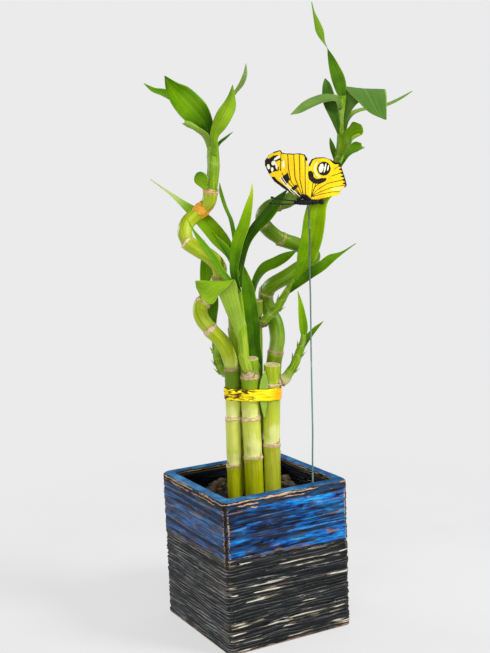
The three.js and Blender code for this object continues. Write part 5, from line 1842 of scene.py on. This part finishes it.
def to_line(spot, line):
    """The distance from a spot to a line through points."""
    best = 99.0
    for start, end in zip(line, line[1:]):
        along = end - start
        share = min(max((spot - start).dot(along) / along.dot(along), 0), 1)
        best = min(best, (start + along * share - spot).length)
    return best


def dab(spot, centre, wide, tall, lean=0.0):
    """1 inside a soft leaning oval, 0 outside."""
    offset = Matrix.Rotation(-lean, 2) @ (spot - Vector(centre))
    reach = math.hypot(offset.x / wide, offset.y / tall)
    return 1 - smooth_step(0.82, 1.12, reach + 0.12 * noise.noise(Vector((*spot, 1)) * 0.9))


def as_lines(*paths):
    return [[Vector(point) for point in path] for path in paths]


LEFT_VEINS = as_lines(
    [(-3, 3), (-5, 14), (-4.8, 30)], [(-3.5, 3), (-8, 15), (-8.3, 30.5)],
    [(-2, 3), (-1.8, 15), (-1.4, 29)], [(-4, 3), (-10.5, 13), (-11.8, 21), (-12, 31)],
    [(-4, 3), (-12, 12), (-17, 20), (-16, 32)],
)
LEFT_MARGIN = as_lines([(-27, 22), (-24, 17), (-20.5, 12.6), (-15, 8.2), (-9.5, 4.6), (-3, 1.4)])[0]
LEFT_TOP = as_lines([(-26.5, 24), (-26, 27.5), (-23.5, 30), (-20, 31.8), (-16.5, 32.8), (-15, 30.8),
                  (-9.5, 30.2), (-4.5, 30.3), (-1.2, 29), (-0.3, 26)])[0]
RIGHT_VEINS = as_lines(
    [(1.5, 3), (4, 9), (10, 14), (22, 17.5)], [(1.5, 3), (5, 7), (12, 11), (23.5, 13)],
    [(1.5, 3), (6, 5.5), (13, 8), (23.5, 9.5)], [(1.5, 3), (3, 12), (3.2, 18)],
    [(1.5, 3), (5, 12), (12, 16.5), (20.5, 22)], [(1.5, 3), (8, 4.6), (15, 5.6), (20, 5.5)],
)
RIGHT_EDGE = as_lines([(1, 22.5), (2.8, 26), (5.3, 27), (10, 27.2), (14.5, 25.8), (17.5, 23.8),
                    (20.7, 23.6), (21.8, 19.5), (23.2, 15), (24.6, 9.5)])[0]


def patch(spot, corners):
    """1 inside a counterclockwise polygon, 0 outside."""
    depth = 99.0
    for start, end in zip(corners, corners[1:] + corners[:1]):
        depth = min(depth, (end - start).normalized().cross(spot - start))
    return smooth_step(-0.3, 0.3, depth + 0.3 * noise.noise(Vector((*spot, 4))))


def stroke(spot, line, half):
    """1 on a line of the given half width, 0 beside it."""
    return 1 - smooth_step(half * 0.75, half * 1.2 + 0.1, to_line(spot, line))


WEDGE = as_lines([(-16.8, 15.4), (-13.8, 11), (-11.2, 14), (-12.3, 18.6)])[0]
STREAK = as_lines([(-10.9, 7.3), (-7.6, 9.9)])[0]
BRAIDS = as_lines(
    [(-17.2, 15.6), (-14.6, 11.6), (-10.8, 7), (-5.6, 2.4)],
    [(-16, 15.9), (-13.6, 12), (-10, 7.8), (-5, 3.2)],
)
HOLLOW = as_lines([(1.4, 17.6), (2, 14.6), (4, 12.7), (7, 12.4), (9.8, 13.6)])[0]


def left_pattern(spot):
    """How dark, pale and orange a spot of the left wing is."""
    veins = max(stroke(spot, vein, 0.24) for vein in LEFT_VEINS)
    edge = stroke(spot, LEFT_TOP, 0.8)
    corner = dab(spot, (-21.4, 23.8), 6.2, 7.2, 0.4) * (1 - dab(spot, (-17.4, 23), 2.7, 3.4, 0.1))
    bars = dab(spot, (-18.2, 20.4), 2, 2.2) * (0.5 + 0.5 * math.cos(spot.x * 4.5))
    margin = stroke(spot, LEFT_MARGIN, 2.1) * smooth_step(3, 7, -spot.x)
    root = dab(spot, (-3, 2.6), 3.2, 2.4)
    dark = max(
        0.75 * veins, edge, corner, bars, margin, root, patch(spot, WEDGE),
        stroke(spot, STREAK, 1),
    )
    lit = max(
        dab(spot, (-18.6, 27.7), 2.3, 0.9, 0.5), dab(spot, (-21, 24.7), 1.6, 1.4, 0.6),
        dab(spot, (-24.3, 22.6), 1, 1.6, 0.2), dab(spot, (-14.8, 23.6), 0.7, 2.4),
        dab(spot, (-22, 20.9), 0.9, 1.4), dab(spot, (-19.2, 22.6), 0.6, 1.6),
    )
    braid = max(stroke(spot, line, 0.2) for line in BRAIDS)
    pale = max(lit, 0.8 * braid)
    gold = max(
        dab(spot, (-22.5, 29.2), 2.8, 0.9, 0.6), dab(spot, (-20.6, 18), 5, 1.5, 0.25),
        dab(spot, (-18.5, 30.2), 2.5, 0.7, 0.3),
    )
    dark = max(dark - pale - 0.9 * gold, 0)
    orange = 0.5 + 0.6 * noise.noise(Vector((spot.x / 2.2, spot.y / 14, 3)))
    return dark, pale, orange


def right_pattern(spot):
    """The same for the right wing, which carries the eyespot."""
    eye = Vector((9.9, 20.1))
    reach = (spot - eye).length
    around = math.atan2(spot.y - eye.y, spot.x - eye.x)
    veins = max(stroke(spot, vein, 0.22) for vein in RIGHT_VEINS) * smooth_step(6.6, 7, reach)
    teeth = 0.5 + 0.5 * math.cos(spot.y * 2.9 + 1)
    serrated = stroke(spot, RIGHT_EDGE, 0.7 + 2 * teeth) * smooth_step(17, 20.5, spot.x)
    shoulder = stroke(spot, RIGHT_EDGE, 1.5) * smooth_step(6, 16, spot.x) * smooth_step(20, 23, spot.y)
    edge = stroke(spot, RIGHT_EDGE, 0.6)
    ring = 1 - smooth_step(4, 4.5, reach)
    hollow = stroke(spot, HOLLOW, 1.5) * smooth_step(5.4, 6.2, reach)
    halo = 0.45 * bump(reach - 6.8, 0.3)
    dark = max(0.65 * veins, serrated, shoulder * smooth_step(6, 6.6, reach), edge, ring, hollow, halo)
    bars = [(-1.7, 1.5, 2.9), (0.7, 0.55, 3), (2.6, 0.45, 2)]
    white = max(
        dab(spot, (eye.x + across, eye.y + 0.3), wide, tall, -0.25) for across, wide, tall in bars
    )
    crescent = bump(reach - 5.6, 0.6) * smooth_step(0.3, 0.75, math.cos(around - 3.3))
    low = dab(spot, (19, 7.6), 6, 1.2, 0.1)
    pale = max(white, 0.6 * crescent, 0.32 * low)
    orange = 0.5 + 0.6 * noise.noise(Vector((around * 3, reach / 12, 5)))
    return max(dark - pale, 0), pale, orange


def wing_reach(outline, hub, seed):
    """The distance from the hub to the wing's edge along each spoke."""
    closed = [Vector(point) for point in outline]
    bearings = []
    for start, end in zip(closed, closed[1:] + closed[:1]):
        for k in range(24):
            spot = start.lerp(end, k / 24) - hub
            bearings.append((math.atan2(spot.y, spot.x), spot.length))
    bearings.sort()
    bearings = [(bearings[-1][0] - 2 * math.pi, bearings[-1][1])] + bearings
    bearings.append((bearings[1][0] + 2 * math.pi, bearings[1][1]))
    reaches, k = [], 0
    for spoke in range(WING_SPOKES):
        angle = -math.pi + 2 * math.pi * spoke / WING_SPOKES
        while bearings[k + 1][0] < angle:
            k += 1
        (low, near), (high, far) = bearings[k], bearings[k + 1]
        reach = near + (far - near) * (angle - low) / max(high - low, 1e-9)
        reach += 0.22 * noise.noise(Vector((math.cos(angle) * 16, math.sin(angle) * 16, seed)))
        reaches.append((angle, reach))
    return reaches


def add_wing(name, outline, hub, yaw, pattern, material):
    hub = Vector(hub)
    turn = Matrix.Rotation(yaw, 3, "Z")
    spokes = wing_reach(outline, hub, yaw)
    points, tags = [], {}
    outward = [k / WING_RINGS for k in range(WING_RINGS + 1)]
    for face, shares in ((1, outward), (-1, outward[-2::-1])):
        for share in shares:
            for angle, reach in spokes if share else [(0, 0)]:
                spot = hub + Vector((math.cos(angle), math.sin(angle))) * reach * share
                dark, pale, orange = pattern(spot)
                cup = 1.1 * math.sin(abs(spot.x) / 27 * math.pi) * min(spot.y / 20, 1)
                furrow = 0.12 * dark + 0.25 * noise.noise(Vector((spot.x / 3.5, spot.y / 12, yaw)))
                half = WING_THICKNESS / 2 * math.sqrt(1 - min(share, 0.999) ** 6)
                depth = -cup + furrow - face * half
                points.append(turn @ Vector((spot.x, depth, spot.y)) + BODY_CENTRE)
                note(tags, dark=dark, pale=pale, orange=orange)
    count, faces = WING_SPOKES, []
    faces += [(0, 1 + k, 1 + (k + 1) % count) for k in range(count)]
    rings = 2 * WING_RINGS - 1
    for ring in range(rings - 1):
        for k in range(count):
            low, high = 1 + ring * count, 1 + (ring + 1) * count
            faces.append((low + k, high + k, high + (k + 1) % count, low + (k + 1) % count))
    last = 1 + (rings - 1) * count
    faces += [(last + k, last + count, last + (k + 1) % count) for k in range(count)]
    add_piece(f"{name}_printed", points, faces, tags, material, "wing", node=name)


BODY_PROFILE = [
    (0, 0.2), (0.03, 0.7), (0.1, 1.1), (0.2, 1.5), (0.42, 1.75), (0.62, 1.6), (0.76, 1.4),
    (0.82, 1.1), (0.86, 1.5), (0.92, 1.85), (0.97, 1.4), (1, 0.2),
]


def body_radius(share):
    for (low, near), (high, far) in zip(BODY_PROFILE, BODY_PROFILE[1:]):
        if share <= high:
            return near + (far - near) * smooth_step(low, high, share)
    return BODY_PROFILE[-1][1]


def add_body(material):
    """A ribbed body with a round head, and a tuft of short hairs where the wings meet."""
    rng = random.Random(HAIR_SEED)
    points, tags = [], {"fuzz": []}
    for ring in range(BODY_RINGS + 1):
        share = ring / BODY_RINGS
        for angle in angles(BODY_SIDES):
            radius = body_radius(share) * (1 + 0.07 * math.sin(share * 62) * (share < 0.75))
            place = Vector((share * 16, math.cos(angle) * 2, math.sin(angle) * 2))
            radius += 0.16 * noise.noise(place * 1.5)
            x = (2 * share - 1) * BODY_HALF
            offset = Vector((x, radius * math.cos(angle), radius * math.sin(angle)))
            points.append(BODY_CENTRE + offset)
            tags["fuzz"].append(0.3 + 0.3 * noise.noise(place))
    faces = ring_faces(BODY_RINGS + 1, BODY_SIDES)
    for _ in range(BODY_HAIRS):
        angle = rng.uniform(-0.6, math.pi + 0.6)
        reach = rng.uniform(0, 1) ** 0.5
        root = BODY_CENTRE + Vector((-3 + 4.2 * reach * math.cos(angle), 0, 1))
        root += Vector((0, rng.uniform(-1.5, 1.2), 2.2 * reach * max(math.sin(angle), 0)))
        way = Vector((math.cos(angle) * 0.7, rng.uniform(-0.9, 0.5), 0.9 + rng.uniform(-0.3, 0.5)))
        tip = root + way.normalized() * rng.uniform(1, 2.1)
        side = way.cross(Vector((0, 1, 0.3))).normalized() * 0.13
        other = way.cross(side).normalized() * 0.13
        first = len(points)
        points += [root + side, root - side * 0.5 + other, root - side * 0.5 - other, tip]
        tags["fuzz"] += [0.2, 0.2, 0.2, 1.0]
        faces += [
            (first, first + 1, first + 3), (first + 1, first + 2, first + 3),
            (first + 2, first, first + 3), (first, first + 2, first + 1),
        ]
    add_piece(
        "butterfly_body_fuzzy", points, faces, tags, material, "butterfly_black",
        node="butterfly_body",
    )


FEELERS = {
    "feeler_upper": [(33.5, -19, 275.5), (27, -21, 276.5), (18, -22, 278.5)],
    "feeler_lower": [(33.5, -19.5, 273.8), (26, -22, 274), (17, -24, 275)],
}
PICK_FOOT = Vector((38, -13, 40))
PICK_KINKS = 16
KINK = 0.22
KINK_SEED = 3
ROD_SIDES = 14


def add_rod(name, path, radius_at, material, slot, step):
    stem = Stem(path, step)
    points, tags = [], {}
    for t, length in stem.stations:
        for angle in angles(ROD_SIDES):
            radius = radius_at(t, length, angle)
            points.append(stem.at(length, angle, radius))
            stem_tags(tags, length, angle, radius, fuzz=t)
    faces = ring_faces(len(stem.stations), ROD_SIDES)
    add_piece(f"{name}_rod", points, faces, tags, material, slot, node=name)


def add_pick(body_look):
    def feeler_radius(t, length, angle):
        knob = 0.35 * smooth_step(0.88, 0.95, t) * (1 - smooth_step(0.97, 1.0, t) * 0.9)
        return 0.42 + knob + 0.05 * noise.noise(Vector((length * 2, angle, 0)))

    for name, path in FEELERS.items():
        add_rod(name, path, feeler_radius, body_look, "butterfly_black", 0.3)
    top = BODY_CENTRE + Vector((0, 0, 0.5))
    rng = random.Random(KINK_SEED)
    path = [PICK_FOOT]
    for k in range(1, PICK_KINKS):
        kink = Vector((rng.uniform(-KINK, KINK), rng.uniform(-KINK, KINK), 0))
        path.append(PICK_FOOT.lerp(top, k / PICK_KINKS) + kink)
    path.append(top)

    def wire_radius(_t, length, angle):
        return 0.5 + 0.035 * noise.noise(Vector((length * 0.7, math.cos(angle), math.sin(angle))))

    add_rod("pick_wire", path, wire_radius, wire_material(), "wire", 1.2)


# ---- stage ----

BACKDROP = (0.83, 0.83, 0.83, 1)
SOFT_LIGHT = 0.32
FLOOR_REACH = 4000
FLOOR_RINGS = 40
FLOOR_SIDES = 96
FLOOR_DROP = 0.0002
# Lamps: [place, what it shines at, size, power], in metres and watts.
LAMPS = {
    "key": ((0.6, -0.8, 0.95), (0, 0, 0.2), 0.4, 14),
    "fill": ((-0.75, -1.0, 0.55), (0, 0, 0.2), 0.9, 8),
    "sheen": ((-0.5, 1.2, 0.5), (0, 0, 0.15), 0.5, 6),
    "overhead": ((0.2, 0.2, 1.5), (0, 0, 0.1), 0.8, 4),
}


def add_floor():
    """A pale disc that melts into the world's colour away from the pot."""
    points = [(0, 0, 0)]
    for ring in range(1, FLOOR_RINGS + 1):
        reach = FLOOR_REACH * (ring / FLOOR_RINGS) ** 2.2
        for angle in angles(FLOOR_SIDES):
            points.append((reach * math.cos(angle), reach * math.sin(angle), 0))
    faces = [(0, 1 + k, 1 + (k + 1) % FLOOR_SIDES) for k in range(FLOOR_SIDES)]
    for ring in range(FLOOR_RINGS - 1):
        low = 1 + ring * FLOOR_SIDES
        high = low + FLOOR_SIDES
        for k in range(FLOOR_SIDES):
            after = (k + 1) % FLOOR_SIDES
            faces.append((low + k, high + k, high + after, low + after))
    s = Shader("floor", Roughness=0.9, Specular_IOR_Level=0.1)
    place = s.place()
    distance = s.node("ShaderNodeVectorMath", {0: place}, output=1, operation="LENGTH")
    paper = s.noise(place, 9, 4)
    colour = s.mix(s.ramp(paper, 0.3, 0.7), (0.2, 0.2, 0.199, 1), (0.22, 0.22, 0.22, 1))
    s.set(s.surface, {"Base Color": colour, "Emission Color": BACKDROP, "Emission Strength": 0.7})
    glow = s.node("ShaderNodeEmission", {"Color": BACKDROP, "Strength": 1.0})
    fade = s.ramp(distance, 0.16, 0.5)
    mixed = s.node("ShaderNodeMixShader", {0: fade, 1: s.surface.outputs[0], 2: glow})
    s.tree.links.new(mixed, s.tree.nodes["Material Output"].inputs["Surface"])
    mesh = bpy.data.meshes.new("floor")
    mesh.from_pydata([Vector(point) * MM for point in points], [], faces)
    mesh.materials.append(s.material)
    floor = bpy.data.objects.new("floor", mesh)
    floor.location.z = -FLOOR_DROP
    bpy.context.scene.collection.objects.link(floor)


def add_lamp(name, place, aim, size, power):
    data = bpy.data.lights.new(name, "AREA")
    data.shape = "DISK"
    data.size = size
    data.energy = power
    lamp = bpy.data.objects.new(name, data)
    lamp.location = place
    lamp.rotation_euler = (Vector(aim) - Vector(place)).to_track_quat("-Z", "Y").to_euler()
    bpy.context.scene.collection.objects.link(lamp)


def light_scene():
    world = bpy.data.worlds.new("studio")
    world.use_nodes = True
    tree = world.node_tree
    seen = tree.nodes["Background"]
    seen.inputs["Color"].default_value = BACKDROP
    soft = tree.nodes.new("ShaderNodeBackground")
    soft.inputs["Color"].default_value = BACKDROP
    soft.inputs["Strength"].default_value = SOFT_LIGHT
    rays = tree.nodes.new("ShaderNodeLightPath")
    mixed = tree.nodes.new("ShaderNodeMixShader")
    tree.links.new(rays.outputs["Is Camera Ray"], mixed.inputs[0])
    tree.links.new(soft.outputs[0], mixed.inputs[1])
    tree.links.new(seen.outputs[0], mixed.inputs[2])
    tree.links.new(mixed.outputs[0], tree.nodes["World Output"].inputs["Surface"])
    bpy.context.scene.world = world
    bpy.context.scene.view_settings.view_transform = "Standard"
    for name, lamp in LAMPS.items():
        add_lamp(name, *lamp)


# ---- assembly ----

def build():
    stalk_look, husk_look = stalk_material(), husk_material()
    stalks = []
    for count, (name, spec) in enumerate(STALKS.items()):
        stalk = Stalk(spec["radii"], spec["path"], spec["top"], 7.3 * count)
        add_stalk(name, stalk, stalk_look)
        add_husks(name, stalk, husk_look)
        stalks.append(stalk)
    shoot_look = shoot_material()
    for name, spec in SHOOTS.items():
        add_shoot(name, **spec, material=shoot_look, husk_look=husk_look)
    leaf_look = leaf_material()
    for name, leaf in LEAVES.items():
        add_leaf(name, leaf, leaf_look)
    add_leaf("tucked_leaf", TUCKED_LEAF, leaf_look)
    add_pot()
    stone_look = stone_material()
    add_gravel(stone_look, stalks)
    add_pebbles(stone_look)
    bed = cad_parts["gravel_bed"]
    bed.data.materials.clear()
    bed.data.materials.append(stone_look)
    add_band()
    body_look, wing_look = body_material(), wing_material()
    add_wing("butterfly_wing_left", LEFT_WING, (-11, 17), -WING_YAW, left_pattern, wing_look)
    add_wing("butterfly_wing_right", RIGHT_WING, (11, 14), WING_YAW, right_pattern, wing_look)
    add_body(body_look)
    add_pick(body_look)


build()
add_floor()
light_scene()
